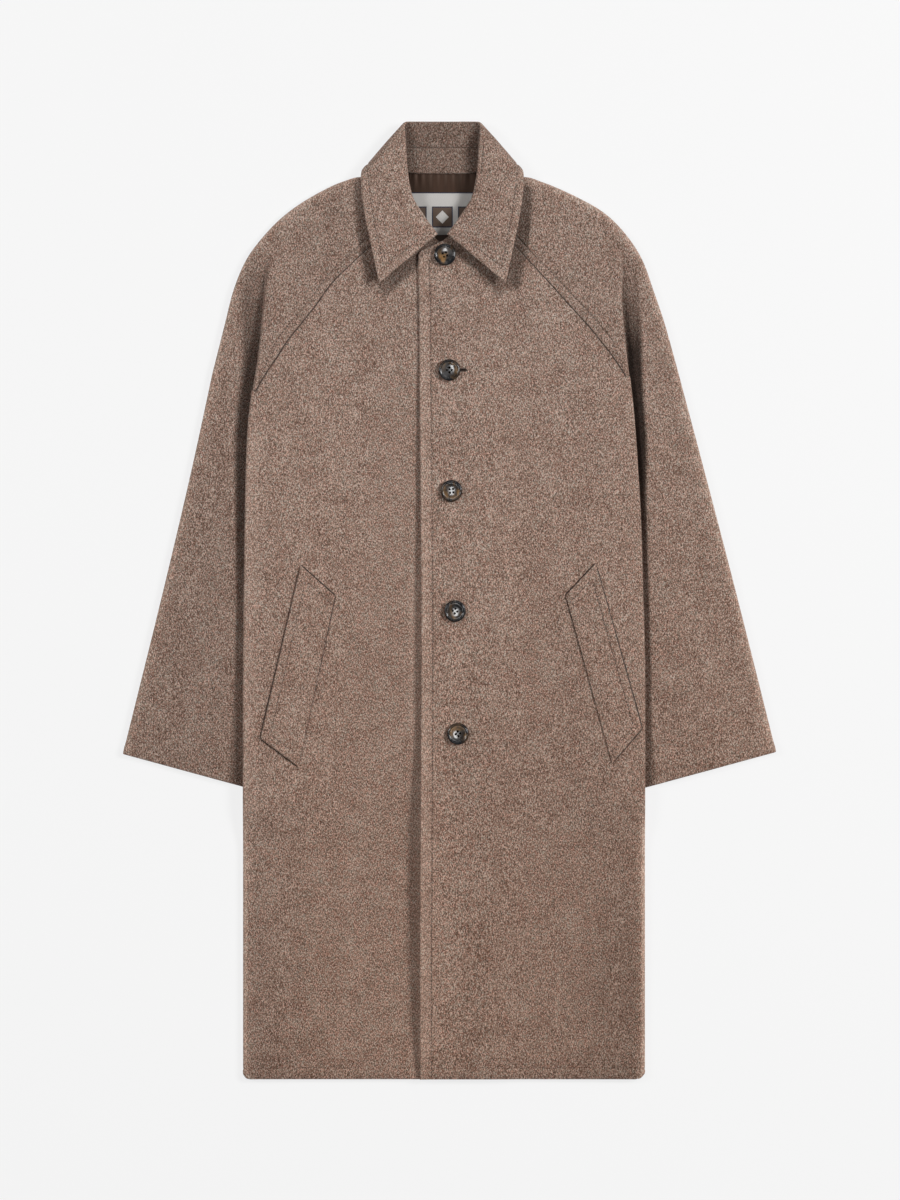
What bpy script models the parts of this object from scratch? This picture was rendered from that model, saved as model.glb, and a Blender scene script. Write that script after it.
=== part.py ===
"""Car coat laid flat on its back: every cut and sewn piece as a closed solid.

Metres, +Z up from the table, +Y towards the collar, +X to the wearer's left.
"across" is the distance from the centre line towards the side being made.
"""
import math

import bmesh
import bpy
import numpy as np
from mathutils import Matrix

# Cloth and how it stacks
CLOTH = 0.0030            # wool with its interlining
GAP = 0.0003              # between pieces at a seam and in a stack
PITCH = CLOTH + GAP       # one cloth lying on another
THIN = 0.0010             # lining and label
CENTRE = -0.0069          # x of the centre line of the fronts and sleeves
COLLAR_CENTRE = -0.0082   # x of the centre line of the collar
HEM_Y = -0.5500
SIDES = {"right": -1.0, "left": 1.0}
SHOULDER_ROWS = 16        # sections of a sleeve front down to the crossing
EDGE_STEPS = 3            # facets round the overarm edge, the last one upright
EDGE_END = 0.0004         # height of the upright one
EDGE_BULGE = 0.0018       # the front half of a sleeve rises this much to its overarm edge
EDGE_SPREAD = 0.022       # within this breadth
FLAT_SHARES = np.array((0.0, 0.30, 0.60, 0.84, 0.93, 1.0))   # points across a flat half, closer at its bulge

# Side folds: the fronts turn under along them, and higher up the sleeves are pleated on them
CROSSING_Y = {"right": 0.2430, "left": 0.2590}   # where the raglan seam runs round the fold
# rise above the crossing, across on the right, across on the left, turn in degrees, radius, tuck
FOLD = (
    (-0.8200, 0.2303, 0.2321, 180.0, 0.0025, 0.034),
    (-0.3550, 0.2303, 0.2322, 180.0, 0.0025, 0.034),
    (-0.2400, 0.2298, 0.2297, 180.0, 0.0025, 0.034),
    (-0.1600, 0.2294, 0.2267, 180.0, 0.0025, 0.034),
    (-0.0910, 0.2283, 0.2227, 180.0, 0.0025, 0.034),
    (-0.0450, 0.2260, 0.2191, 180.0, 0.0025, 0.034),
    (0.0000, 0.2196, 0.2141, 180.0, 0.0025, 0.034),
    (0.0253, 0.2150, 0.2116, 168.0, 0.0025, 0.008),
    (0.0633, 0.2094, 0.2076, 130.0, 0.0028, 0.002),
    (0.1058, 0.2050, 0.2041, 70.0, 0.0042, 0.002),
    (0.1472, 0.1980, 0.2012, 24.0, 0.0160, 0.002),
    (0.1668, 0.1938, 0.2001, 6.0, 0.0700, 0.002),
    (0.2185, 0.1892, 0.1972, 1.0, 0.4000, 0.002),
)
FOLD_SPREAD = 0.160       # the fronts come down to the back within this breadth
LOW_BULGE = 0.0017        # the side fold stands this much above flat below the cuffs
CUFF_CLEAR_Y = (-0.2850, -0.2280)   # the side comes down off the cuff between these
SIDE_TURN = 0.066         # breadth of the strip turned under, to the side seam
TURN_LEVEL = 0.037        # of it, what lies level on the tucked sleeve
TURN_RADIUS = 0.0025      # of the fold, in the middle of the cloth
TURN_SLANT_LENGTH = 0.075  # the strip's rows turn from the sleeve's section to level within this
CROSSING_GAP = 0.0014     # between sleeve and front where the seam runs round the fold
TURN_SLANT = 1.30         # the strip's end slopes this many times the sleeve's section
SEAM_GAP = 0.0007         # at the side seams, where the strip comes down at a slope

# Raglan sleeves, a row for each section from the neck to the crossing:
# seam across, seam y, overarm across, overarm y, share of the section at which it folds
SHOULDER = {
    "right": (
        (0.0374, 0.4560, 0.0449, 0.4850, 0.75),
        (0.0604, 0.4307, 0.0673, 0.4850, 0.75),
        (0.0853, 0.4059, 0.0949, 0.4865, 0.75),
        (0.1075, 0.3847, 0.1179, 0.4820, 0.75),
        (0.1294, 0.3628, 0.1547, 0.4640, 0.75),
        (0.1449, 0.3410, 0.1840, 0.4433, 0.75),
        (0.1621, 0.3191, 0.2076, 0.4192, 0.75),
        (0.1794, 0.2973, 0.2265, 0.3916, 0.54),
        (0.1926, 0.2766, 0.2409, 0.3571, 0.35),
        (0.2064, 0.2559, 0.2513, 0.3168, 0.18),
        (0.2153, 0.2403, 0.2656, 0.2616, 0.08),
    ),
    "left": (
        (0.0374, 0.4560, 0.0425, 0.4850, 0.75),
        (0.0592, 0.4307, 0.0650, 0.4850, 0.75),
        (0.0837, 0.4054, 0.0926, 0.4865, 0.75),
        (0.1052, 0.3824, 0.1156, 0.4815, 0.75),
        (0.1253, 0.3605, 0.1547, 0.4640, 0.75),
        (0.1443, 0.3392, 0.1846, 0.4456, 0.76),
        (0.1627, 0.3191, 0.2099, 0.4203, 0.78),
        (0.1788, 0.2996, 0.2283, 0.3916, 0.51),
        (0.1930, 0.2815, 0.2409, 0.3571, 0.30),
        (0.2025, 0.2675, 0.2536, 0.3203, 0.16),
        (0.2093, 0.2570, 0.2674, 0.2720, 0.073),
    ),
}
# Below the crossing: inner edge across, its y, overarm across, its y; the last row is the cuff
ARM = {
    "right": (
        (0.1870, 0.1200, 0.2884, 0.1560),
        (0.1915, -0.0150, 0.3190, 0.0250),
        (0.1989, -0.2226, 0.3686, -0.1763),
    ),
    "left": (
        (0.1826, 0.1200, 0.2998, 0.1500),
        (0.1900, -0.0150, 0.3337, 0.0200),
        (0.2001, -0.2237, 0.3824, -0.1740),
    ),
}

# Fronts: neck edge and front edge, a row for each of the first sections: across, y
FRONT_INNER = {
    "right": (
        (0.0330, 0.4537),
        (0.0215, 0.4353),
        (0.0090, 0.4157),
        (-0.0030, 0.4075),
        (-0.0328, 0.3950),
        (-0.0328, 0.3720),
        (-0.0328, 0.3450),
        (-0.0328, 0.3180),
        (-0.0328, 0.2900),
        (-0.0328, 0.2640),
    ),
    "left": (
        (0.0330, 0.4537),
        (0.0195, 0.4330),
        (0.0015, 0.4146),
        (-0.0290, 0.3975),
        (-0.0292, 0.3820),
        (-0.0287, 0.3640),
        (-0.0282, 0.3400),
        (-0.0279, 0.3150),
        (-0.0276, 0.2900),
        (-0.0274, 0.2680),
    ),
}
UNDER_EDGE = -0.0328      # front edge of the right front, under the left one
# Front edge of the left front: y, across, how far the edge stands off the right front
FRONT_EDGE = (
    (-0.5500, -0.0270, 0.0022),
    (-0.4594, -0.0270, 0.0067),
    (-0.2869, -0.0264, 0.0095),
    (-0.0569, -0.0253, 0.0042),
    (0.1731, -0.0270, 0.0022),
    (0.3456, -0.0282, 0.0000),
    (0.3975, -0.0290, 0.0000),
)
EDGE_STAND = 0.024        # breadth of the front edge that stands off
OVERLAP_CLEAR = 0.016     # the left front stays level this far past the right one's edge
OVERLAP_RAMP = 0.050      # and then comes down within this
OVERLAP_TOP_Y = (0.4160, 0.4400)

# Neck: the back lies on the collar's back leaf, the fronts on the lining
BACK_RISE = 0.0033
BACK_RISE_Y = (0.4250, 0.4580)
BACK_RISE_ACROSS = (0.100, 0.135)
TOP_RISE = 0.0062
TOP_RISE_Y = (0.2600, 0.3970)
TOP_RISE_ACROSS = (0.100, 0.160)
BACK_NECK = (0.0320, 0.4836)   # where the back raglan seam meets the neck: across, y
NECK_ROWS_Y = np.linspace(0.4000, BACK_NECK[1], 9)
LINING_ACROSS = 0.039     # half breadths, from the collar's centre line
LINING_TOP_Y = 0.4920
LABEL_ACROSS = 0.037
LABEL_Y = (0.4200, 0.4688)

# Collar, a row for each station from the front end to the middle of the back:
# station; fold, edge of the leaf, edge of the inner strip and neck seam, each across, y, z; bow
COLLAR = (
    (0.00, (0.0065, 0.4185, 0.0250), (0.0735, 0.3668, 0.0222),
     (0.0078, 0.4176, 0.0200), (0.0090, 0.4168, 0.0179), 0.003),
    (0.15, (0.0225, 0.4408, 0.0250), (0.0812, 0.4031, 0.0218),
     (0.0239, 0.4400, 0.0190), (0.0251, 0.4393, 0.0160), 0.004),
    (0.32, (0.0365, 0.4650, 0.0250), (0.0884, 0.4387, 0.0208),
     (0.0381, 0.4647, 0.0190), (0.0395, 0.4645, 0.0158), 0.005),
    (0.50, (0.0416, 0.4950, 0.0240), (0.0930, 0.4721, 0.0192),
     (0.0432, 0.4949, 0.0182), (0.0446, 0.4948, 0.0154), 0.009),
    (0.66, (0.0440, 0.5265, 0.0220), (0.0932, 0.4845, 0.0176),
     (0.0428, 0.5185, 0.0165), (0.0432, 0.4960, 0.0152), 0.016),
    (0.76, (0.0450, 0.5415, 0.0165), (0.0914, 0.4930, 0.0078),
     (0.0375, 0.5190, 0.0120), (0.0380, 0.4920, 0.0145), 0.024),
    (0.84, (0.0405, 0.5482, 0.0085), (0.0865, 0.4850, 0.0015),
     (0.0315, 0.5197, 0.0085), (0.0315, 0.4905, 0.0126), 0.008),
    (0.92, (0.0260, 0.5485, 0.0052), (0.0650, 0.4700, 0.0015),
     (0.0195, 0.5198, 0.0066), (0.0190, 0.4900, 0.0104), 0.000),
    (1.00, (0.0000, 0.5485, 0.0040), (0.0000, 0.4640, 0.0015),
     (0.0000, 0.5198, 0.0062), (0.0000, 0.4899, 0.0100), 0.000),
)
COLLAR_GAP = (0.0005, 0.0023)   # between fall and stand: in the back, and at the sides, where both bend
ROLL = 0.0022             # radius of the collar's roll

# Pocket welts: corners across, y: upper inner, upper outer, lower outer, lower inner
WELT = {
    "right": ((0.1244, 0.0052), (0.1640, 0.0405), (0.2100, -0.1581), (0.1666, -0.1909)),
    "left": ((0.1403, 0.0063), (0.1746, 0.0425), (0.2275, -0.1466), (0.1938, -0.1863)),
}
WELT_THICK = 0.0025

# Buttons
BUTTON_AT = ((-0.0052, 0.3967), (0.0000, 0.2645), (0.0023, 0.1259), (0.0063, -0.0121), (0.0098, -0.1529))
BUTTON_TURN = (0.35, 0.80, 0.10, 0.62, 0.95)    # radians, how each lies turned
BUTTON_RADIUS = 0.0125
# Half section of a button from its sunk flat middle round to its underside: radius, height
BUTTON_SECTION = (
    (0.0078, 0.0028),
    (0.0092, 0.0040),
    (0.0108, 0.0042),
    (0.0125, 0.0028),
    (0.0118, 0.0010),
    (0.0075, 0.0000),
)
BUTTON_SEGMENTS = 18
HOLE_RADIUS = 0.0011
HOLE_OUT = 0.0026         # holes lie this far from the middle
HOLE_TURN = 0.20          # radians, so that no corners of two holes lie in line

SHARP = math.radians(40)  # edges bent more than this are shaded sharp
COLOURS = {
    "wool": (0.26, 0.19, 0.15, 1.0),
    "satin": (0.05, 0.03, 0.02, 1.0),
    "label": (0.70, 0.68, 0.64, 1.0),
    "horn": (0.03, 0.02, 0.015, 1.0),
}

for old in list(bpy.data.objects):
    bpy.data.objects.remove(old, do_unlink=True)


def ease(share):
    """Smooth step from 0 to 1."""
    share = np.clip(share, 0.0, 1.0)
    return share * share * (3.0 - 2.0 * share)


def curve(knots, values, at):
    """Cubic through the values that never overshoots them, held beyond its ends."""
    knots = np.asarray(knots, dtype=float)
    values = np.asarray(values, dtype=float)
    step = np.diff(knots)
    slope = np.diff(values) / step
    both = slope[:-1] * slope[1:]
    total = slope[:-1] + slope[1:]
    tangent = np.zeros(len(knots))
    tangent[0] = slope[0]
    tangent[-1] = slope[-1]
    tangent[1:-1] = np.where(both > 0.0, 2.0 * both / np.where(total == 0.0, 1.0, total), 0.0)
    at = np.clip(np.asarray(at, dtype=float), knots[0], knots[-1])
    cell = np.clip(np.searchsorted(knots, at, side="right") - 1, 0, len(step) - 1)
    t = (at - knots[cell]) / step[cell]
    low = values[cell] * (1.0 + 2.0 * t) * (1.0 - t) ** 2 + values[cell + 1] * t * t * (3.0 - 2.0 * t)
    bend = tangent[cell] * t * (1.0 - t) ** 2 - tangent[cell + 1] * t * t * (1.0 - t)
    return low + step[cell] * bend


def column(table, index):
    """One column of a table as an array."""
    return np.array([row[index] for row in table], dtype=float)


def fold_across(side, y):
    """Outermost line of the side fold."""
    index = 1 if side == "right" else 2
    return curve(column(FOLD, 0), column(FOLD, index), y - CROSSING_Y[side])


def fold_shape(side, y):
    """Turn in radians, radius and tuck of the fold at height y of the coat."""
    rise = y - CROSSING_Y[side]
    knots = column(FOLD, 0)
    turn = np.radians(curve(knots, column(FOLD, 3), rise))
    radius = np.exp(curve(knots, np.log(column(FOLD, 4)), rise))
    tuck = curve(knots, column(FOLD, 5), rise)
    return turn, radius, tuck


def fold_height(side, y):
    """How high the upper cloth stands above the lower one at the fold."""
    turn, radius, tuck = fold_shape(side, y)
    full = 2.0 * radius * (1.0 - np.cos(turn)) + tuck * np.sin(turn)
    low, high = CUFF_CLEAR_Y
    return LOW_BULGE + (full - LOW_BULGE) * ease((y - low) / (high - low))


def neck_share(across, y, range_y, range_across):
    """1 at the neck, 0 away from it."""
    down = ease((y - range_y[0]) / (range_y[1] - range_y[0]))
    out = ease((range_across[1] - np.abs(across)) / (range_across[1] - range_across[0]))
    return down * out


def back_height(across, y):
    """Middle of the cloth of the back and the sleeve backs."""
    return CLOTH / 2 + BACK_RISE * neck_share(across, y, BACK_RISE_Y, BACK_RISE_ACROSS)


def lower_height(across, y):
    """Middle of the cloth that lies on the back or on a sleeve back."""
    return CLOTH / 2 + PITCH + TOP_RISE * neck_share(across, y, TOP_RISE_Y, TOP_RISE_ACROSS)


def overarm_height(across, y):
    """Lower height with the bulge of the overarm edge, which the neck's own rise replaces."""
    share = neck_share(across, y, TOP_RISE_Y, TOP_RISE_ACROSS)
    return lower_height(across, y) + EDGE_BULGE * (1.0 - share)


def upper_height(side, across, y):
    """Lower height raised towards the side fold, as a cosine of the distance from it."""
    away = np.clip(fold_across(side, y) - across, 0.0, FOLD_SPREAD)
    swell = 0.5 * (1.0 + np.cos(math.pi * away / FOLD_SPREAD))
    return lower_height(across, y) + fold_height(side, y) * swell


def front_height(side, across, y):
    """Upper height; the left front also lies on the right one and its edge stands off."""
    height = upper_height(side, across, y)
    if side == "left":
        beside = ease((-UNDER_EDGE + OVERLAP_CLEAR + OVERLAP_RAMP - across) / OVERLAP_RAMP)
        low, high = OVERLAP_TOP_Y
        height = height + PITCH * beside * ease((high - y) / (high - low))
        knots = column(FRONT_EDGE, 0)
        inside = np.clip(across - curve(knots, column(FRONT_EDGE, 1), y), 0.0, EDGE_STAND)
        height = height + curve(knots, column(FRONT_EDGE, 2), y) * (1.0 - inside / EDGE_STAND) ** 2
    return height


def place(side, across, y, z):
    """Grid of points from across, y and z."""
    across, y, z = np.broadcast_arrays(across, y, z)
    return np.stack((CENTRE + SIDES[side] * across, y, z), axis=-1)


def material(name):
    """A plain Principled material."""
    made = bpy.data.materials.get(name)
    if made is None:
        made = bpy.data.materials.new(name)
        made.use_nodes = True
        shader = made.node_tree.nodes["Principled BSDF"]
        shader.inputs["Base Color"].default_value = COLOURS[name]
        shader.inputs["Roughness"].default_value = 0.3 if name == "horn" else 0.9
    return made


def add_object(name, mesh, finish):
    """Puts a mesh into the scene with a material of its own."""
    made = bpy.data.objects.new(name, mesh)
    bpy.context.collection.objects.link(made)
    own = material(finish).copy()
    own.name = finish + "_" + name
    mesh.materials.append(own)
    mesh.shade_smooth()
    mesh.set_sharp_from_angle(angle=SHARP)
    return made


def cloth(name, points, thickness=CLOTH, finish="wool", present=None):
    """Sheet through a grid of points, given its thickness on both sides of them."""
    rows, columns = points.shape[:2]
    if present is None:
        present = np.ones((rows, columns), dtype=bool)
    number = np.full((rows, columns), -1)
    number[present] = np.arange(int(present.sum()))
    corners = np.stack((number[:-1, :-1], number[:-1, 1:], number[1:, 1:], number[1:, :-1]), axis=-1)
    corners = corners.reshape(-1, 4)
    faces = corners[(corners >= 0).all(axis=1)]
    mesh = bpy.data.meshes.new(name)
    mesh.from_pydata(points[present].tolist(), [], faces.tolist())
    mesh.validate()
    made = add_object(name, mesh, finish)
    solid = made.modifiers.new("thickness", "SOLIDIFY")
    solid.thickness = thickness
    solid.offset = 0.0
    solid.use_quality_normals = True
    return made


def shares(count):
    """Evenly spaced from 0 to 1."""
    return np.linspace(0.0, 1.0, count)


def overarm_edge(upper, lower):
    """Quarter turn of cloth that meets the other half of the sleeve at the overarm seam.

    Gives the distance in from the outline and the drop from the flat cloth, a row for each section.
    """
    radius = edge_radius(upper, lower)[:, None]
    angle = 0.5 * math.pi * np.append(shares(EDGE_STEPS)[1:], 1.0)
    out = CLOTH / 2 + radius * (1.0 - np.sin(angle))
    drop = radius * (1.0 - np.cos(angle))
    drop[:, -1] += EDGE_END
    return out, drop


def edge_radius(upper, lower):
    """Radius of the quarter turn between two cloths at these heights."""
    return np.abs(upper - lower) / 2 - GAP / 2 - EDGE_END


def section_lines(side, count):
    """Sections of the sleeve from the neck to the crossing, one array a column."""
    table = SHOULDER[side]
    at = np.linspace(0.0, len(table) - 1.0, count)
    return [curve(np.arange(len(table)), column(table, index), at) for index in range(5)]


def sleeve_front(side, arm_rows=8):
    """Front half of a sleeve: flat from the seam, an S fold, then flat to the overarm edge."""
    shoulder_rows = SHOULDER_ROWS
    seam_a, seam_y, over_a, over_y, fold_at = section_lines(side, shoulder_rows)
    length = np.hypot(over_a - seam_a, over_y - seam_y)
    dir_a = (over_a - seam_a) / length
    dir_y = (over_y - seam_y) / length
    fold_q = fold_at * length
    turn, radius, tuck = fold_shape(side, seam_y + dir_y * fold_q)
    blunt = CLOTH / 2 * ease((turn - math.radians(60)) / math.radians(30))
    start_q = np.maximum(fold_q - radius * np.sin(np.minimum(turn, math.pi / 2)) - blunt, 0.0004)

    first = shares(4) * start_q[:, None]
    bend = turn[:, None] * shares(5)[1:]
    r = radius[:, None]
    bend_q = r * np.sin(bend)
    bend_d = r * (1.0 - np.cos(bend))
    slide = tuck[:, None] * shares(3)[1:]
    slide_q = bend_q[:, -1:] + slide * np.cos(turn)[:, None]
    slide_d = bend_d[:, -1:] + slide * np.sin(turn)[:, None]
    back = turn[:, None] * shares(5)[-2::-1]
    back_q = slide_q[:, -1:] + r * (np.sin(turn)[:, None] - np.sin(back))
    back_d = slide_d[:, -1:] + r * (np.cos(back) - np.cos(turn)[:, None])
    s_q = start_q[:, None] + np.concatenate((bend_q, slide_q, back_q), axis=1)
    s_d = np.concatenate((bend_d, slide_d, back_d), axis=1)

    edge_top = overarm_height(over_a, over_y)
    edge_low = back_height(over_a, over_y)
    bulge = edge_top - lower_height(over_a, over_y)
    edge_out, edge_drop = overarm_edge(edge_top, edge_low)
    flat_end = length - CLOTH / 2 - edge_radius(edge_top, edge_low)
    last = s_q[:, -1:] + (flat_end[:, None] - s_q[:, -1:]) * FLAT_SHARES[1:]
    edge_q = length[:, None] - edge_out

    q = np.concatenate((first, s_q, last, edge_q), axis=1)
    across = seam_a[:, None] + dir_a[:, None] * q
    y = seam_y[:, None] + dir_y[:, None] * q
    height = lower_height(across, y)
    upper = upper_height(side, across, y)
    count = first.shape[1]
    height[:, :count] = upper[:, :count]
    swell = (upper - lower_height(across, y))[:, count - 1:count]
    bends = slice(count, count + s_q.shape[1])
    height[:, bends] = height[:, bends] + swell * (1.0 - s_d / s_d[:, -1:])
    height = height + bulge[:, None] * ease(1.0 - (flat_end[:, None] - q) / EDGE_SPREAD)
    height[:, -EDGE_STEPS:] = edge_top[:, None] - edge_drop
    shoulder = place(side, across, y, height)

    lead = count + s_q.shape[1] - 1
    arm = arm_lines(side, across[-1, lead], y[-1, lead], over_a[-1], over_y[-1], arm_rows)
    arm_points = flat_sleeve(side, arm, "front")
    grid = np.zeros((shoulder_rows + arm_rows, shoulder.shape[1], 3))
    grid[:shoulder_rows] = shoulder
    grid[shoulder_rows:, lead:] = arm_points
    present = np.ones(grid.shape[:2], dtype=bool)
    present[shoulder_rows:, :lead] = False
    return grid, present, (across[-1, lead], y[-1, lead])


def arm_lines(side, inner_a, inner_y, over_a, over_y, count):
    """Sections of the lower sleeve, from just below the crossing to the cuff."""
    table = ((inner_a, inner_y, over_a, over_y),) + ARM[side]
    knots = (0.0, 0.28, 0.56, 1.0)
    at = shares(count + 1)[1:]
    return [curve(knots, column(table, index), at) for index in range(4)]


def flat_sleeve(side, lines, half):
    """Flat front or back half of a sleeve, from its inner line to the overarm edge, which turns to the other half."""
    inner_a, inner_y, over_a, over_y = lines
    length = np.hypot(over_a - inner_a, over_y - inner_y)
    upper = overarm_height(over_a, over_y)
    lower = back_height(over_a, over_y)
    flat_height = lower_height if half == "front" else back_height
    edge_height = upper if half == "front" else lower
    bulge = edge_height - flat_height(over_a, over_y)
    down = 1.0 if half == "front" else -1.0
    out, drop = overarm_edge(upper, lower)
    flat_end = length - CLOTH / 2 - edge_radius(upper, lower)
    q = np.concatenate((flat_end[:, None] * FLAT_SHARES, length[:, None] - out), axis=1)
    across = inner_a[:, None] + ((over_a - inner_a) / length)[:, None] * q
    y = inner_y[:, None] + ((over_y - inner_y) / length)[:, None] * q
    height = flat_height(across, y) + bulge[:, None] * ease(1.0 - (flat_end[:, None] - q) / EDGE_SPREAD)
    height[:, -EDGE_STEPS:] = edge_height[:, None] - down * drop
    return place(side, across, y, height)


def sleeve_back(side, underarm, arm_rows=8):
    """Back half of a sleeve, flat on the table from the back raglan seam to the overarm edge."""
    over_a, over_y = section_lines(side, SHOULDER_ROWS)[2:4]
    share = shares(SHOULDER_ROWS)
    seam_a = BACK_NECK[0] + (underarm[0] - BACK_NECK[0]) * share
    seam_y = BACK_NECK[1] + (underarm[1] - BACK_NECK[1]) * share
    upper = flat_sleeve(side, (seam_a, seam_y, over_a, over_y), "back")
    arm = arm_lines(side, underarm[0], underarm[1], over_a[-1], over_y[-1], arm_rows)
    lower = flat_sleeve(side, arm, "back")
    return np.concatenate((upper, lower), axis=0)


def seam_top(side):
    """Upper end of the side seam: the end of the strip turned under at the crossing."""
    section = SHOULDER[side][-1]
    fold_a, fold_y = fold_start(section)
    slant = TURN_SLANT * section_slant(section)
    reach = (TURN_RADIUS + CLOTH / 2 + SIDE_TURN) / math.hypot(1.0, slant)
    return fold_a - reach - SEAM_GAP, fold_y - slant * reach - CROSSING_GAP


def back_side(side, underarm, low_rows=12, high_rows=5):
    """Edge of the back from the hem to the neck: side seam, underarm, raglan seam."""
    top_a, top_y = seam_top(side)
    low_y = np.linspace(HEM_Y, top_y, low_rows)
    low_a = fold_across(side, low_y) - CLOTH / 2 - TURN_RADIUS - SIDE_TURN - SEAM_GAP
    low_a[-1] = min(low_a[-1], top_a)
    high_y = np.concatenate((np.linspace(underarm[1] + SEAM_GAP, NECK_ROWS_Y[0], high_rows)[:-1], NECK_ROWS_Y))
    share = (high_y - underarm[1]) / (BACK_NECK[1] - underarm[1])
    high_a = underarm[0] - 4.0 * GAP + (BACK_NECK[0] - underarm[0]) * share
    return np.concatenate((low_a, high_a)), np.concatenate((low_y, high_y))


def back_panel(underarms):
    """Back on the table; each of its rows joins the same point of both sides."""
    right_a, right_y = back_side("right", underarms["right"])
    left_a, left_y = back_side("left", underarms["left"])
    share = np.linspace(-1.0, 1.0, 11)
    across = np.where(share < 0.0, share * right_a[:, None], share * left_a[:, None])
    y = 0.5 * (right_y + left_y)[:, None] + 0.5 * (left_y - right_y)[:, None] * share
    return place("left", across, y, back_height(across, y))


def fold_start(section):
    """Point of the side fold on the last section of the sleeve."""
    seam_a, seam_y, over_a, over_y, fold_at = section
    return seam_a + (over_a - seam_a) * fold_at, seam_y + (over_y - seam_y) * fold_at


def section_slant(section):
    """Slope of a section of the sleeve."""
    seam_a, seam_y, over_a, over_y, fold_at = section
    return (over_y - seam_y) / (over_a - seam_a)


def front(side, body_rows=18):
    """A front: sections fan out from the neck, then run level to the hem and turn under at the side."""
    outer_a, outer_y = [line[:-1] for line in section_lines(side, SHOULDER_ROWS)[:2]]
    seam_rows = SHOULDER_ROWS - 1
    inner = FRONT_INNER[side]
    at = np.linspace(0.0, len(inner) - 1.0, seam_rows)
    inner_a = curve(np.arange(len(inner)), column(inner, 0), at)
    inner_y = curve(np.arange(len(inner)), column(inner, 1), at)
    reach = np.hypot(outer_a - inner_a, outer_y - inner_y)
    keep = 1.0 - 1.5 * GAP / reach
    outer_a = inner_a + (outer_a - inner_a) * keep
    outer_y = inner_y + (outer_y - inner_y) * keep

    top_a, top_y = fold_start(SHOULDER[side][-1])
    down = shares(body_rows)
    fold_y = top_y - CROSSING_GAP + (HEM_Y - top_y + CROSSING_GAP) * down
    fold_a = fold_across(side, fold_y)
    fold_a[0] = top_a
    slant = TURN_SLANT * section_slant(SHOULDER[side][-1])
    slant = slant * ease((fold_y - top_y + TURN_SLANT_LENGTH) / TURN_SLANT_LENGTH)
    dir_a = 1.0 / np.hypot(1.0, slant)
    dir_y = slant * dir_a
    lead = TURN_RADIUS + CLOTH / 2
    bend_a = fold_a - dir_a * lead
    bend_y = fold_y - dir_y * lead
    edge_top = inner[-1][1] - 0.024
    edge_y = edge_top + (HEM_Y - edge_top) * down
    if side == "left":
        edge_a = curve(column(FRONT_EDGE, 0), column(FRONT_EDGE, 1), edge_y)
    else:
        edge_a = np.full(body_rows, UNDER_EDGE)

    flat = shares(10)
    up_a = inner_a[:, None] + (outer_a - inner_a)[:, None] * flat
    up_y = inner_y[:, None] + (outer_y - inner_y)[:, None] * flat
    low_a = edge_a[:, None] + (bend_a - edge_a)[:, None] * flat
    low_y = edge_y[:, None] + (bend_y - edge_y)[:, None] * flat
    angle = math.pi * shares(6)[1:]
    turn_q = TURN_RADIUS * np.sin(angle)
    level = front_height(side, bend_a, bend_y)
    turn_z = level[:, None] - TURN_RADIUS * (1.0 - np.cos(angle))
    strip = SIDE_TURN * shares(6)[1:]
    sink = 1.0 - ease((strip - TURN_LEVEL) / (SIDE_TURN - TURN_LEVEL))
    strip_z = CLOTH / 2 + (level - 2.0 * TURN_RADIUS - CLOTH / 2)[:, None] * sink
    q = np.concatenate((turn_q, -strip))
    under_a = bend_a[:, None] + dir_a[:, None] * q
    under_y = bend_y[:, None] + dir_y[:, None] * q
    under_z = np.concatenate((turn_z, strip_z), axis=1)

    rows = seam_rows + body_rows
    grid = np.zeros((rows, len(flat) + q.size, 3))
    grid[:seam_rows, :len(flat)] = place(side, up_a, up_y, front_height(side, up_a, up_y))
    grid[seam_rows:, :len(flat)] = place(side, low_a, low_y, front_height(side, low_a, low_y))
    grid[seam_rows:, len(flat):] = place(side, under_a, under_y, under_z)
    present = np.ones(grid.shape[:2], dtype=bool)
    present[:seam_rows, len(flat):] = False
    return grid, present


def unit(vectors):
    """Vectors of length one."""
    return vectors / np.linalg.norm(vectors, axis=-1, keepdims=True)


def arch(start, end, start_dir, end_dir, share, pull=1.0):
    """Curve from start to end that leaves and arrives in the given directions."""
    chord = pull * np.linalg.norm(end - start, axis=-1, keepdims=True)[:, None]
    t = share[None, :, None]
    s = 1.0 - t
    ends = start[:, None] * (1.0 + 2.0 * t) * s * s + end[:, None] * t * t * (3.0 - 2.0 * t)
    return ends + chord * (start_dir[:, None] * t * s * s - end_dir[:, None] * t * t * s)


def collar_lines(count):
    """Fold, leaf edge, strip edge and neck seam as arrays of points round the neck, and the bow."""
    knots = column(COLLAR, 0)
    whole = np.concatenate((knots, 2.0 - knots[-2::-1]))
    at = np.linspace(0.0, 2.0, count)
    lines = []
    for index in range(1, 5):
        half = np.array([row[index] for row in COLLAR])
        mirrored = half[-2::-1] * np.array((-1.0, 1.0, 1.0))
        full = np.concatenate((half, mirrored))
        points = np.stack([curve(whole, full[:, axis], at) for axis in range(3)], axis=-1)
        points[:, 0] = COLLAR_CENTRE - points[:, 0]
        lines.append(points)
    bow = column(COLLAR, 5)
    lines.append(curve(whole, np.concatenate((bow, bow[-2::-1])), at))
    return lines


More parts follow.
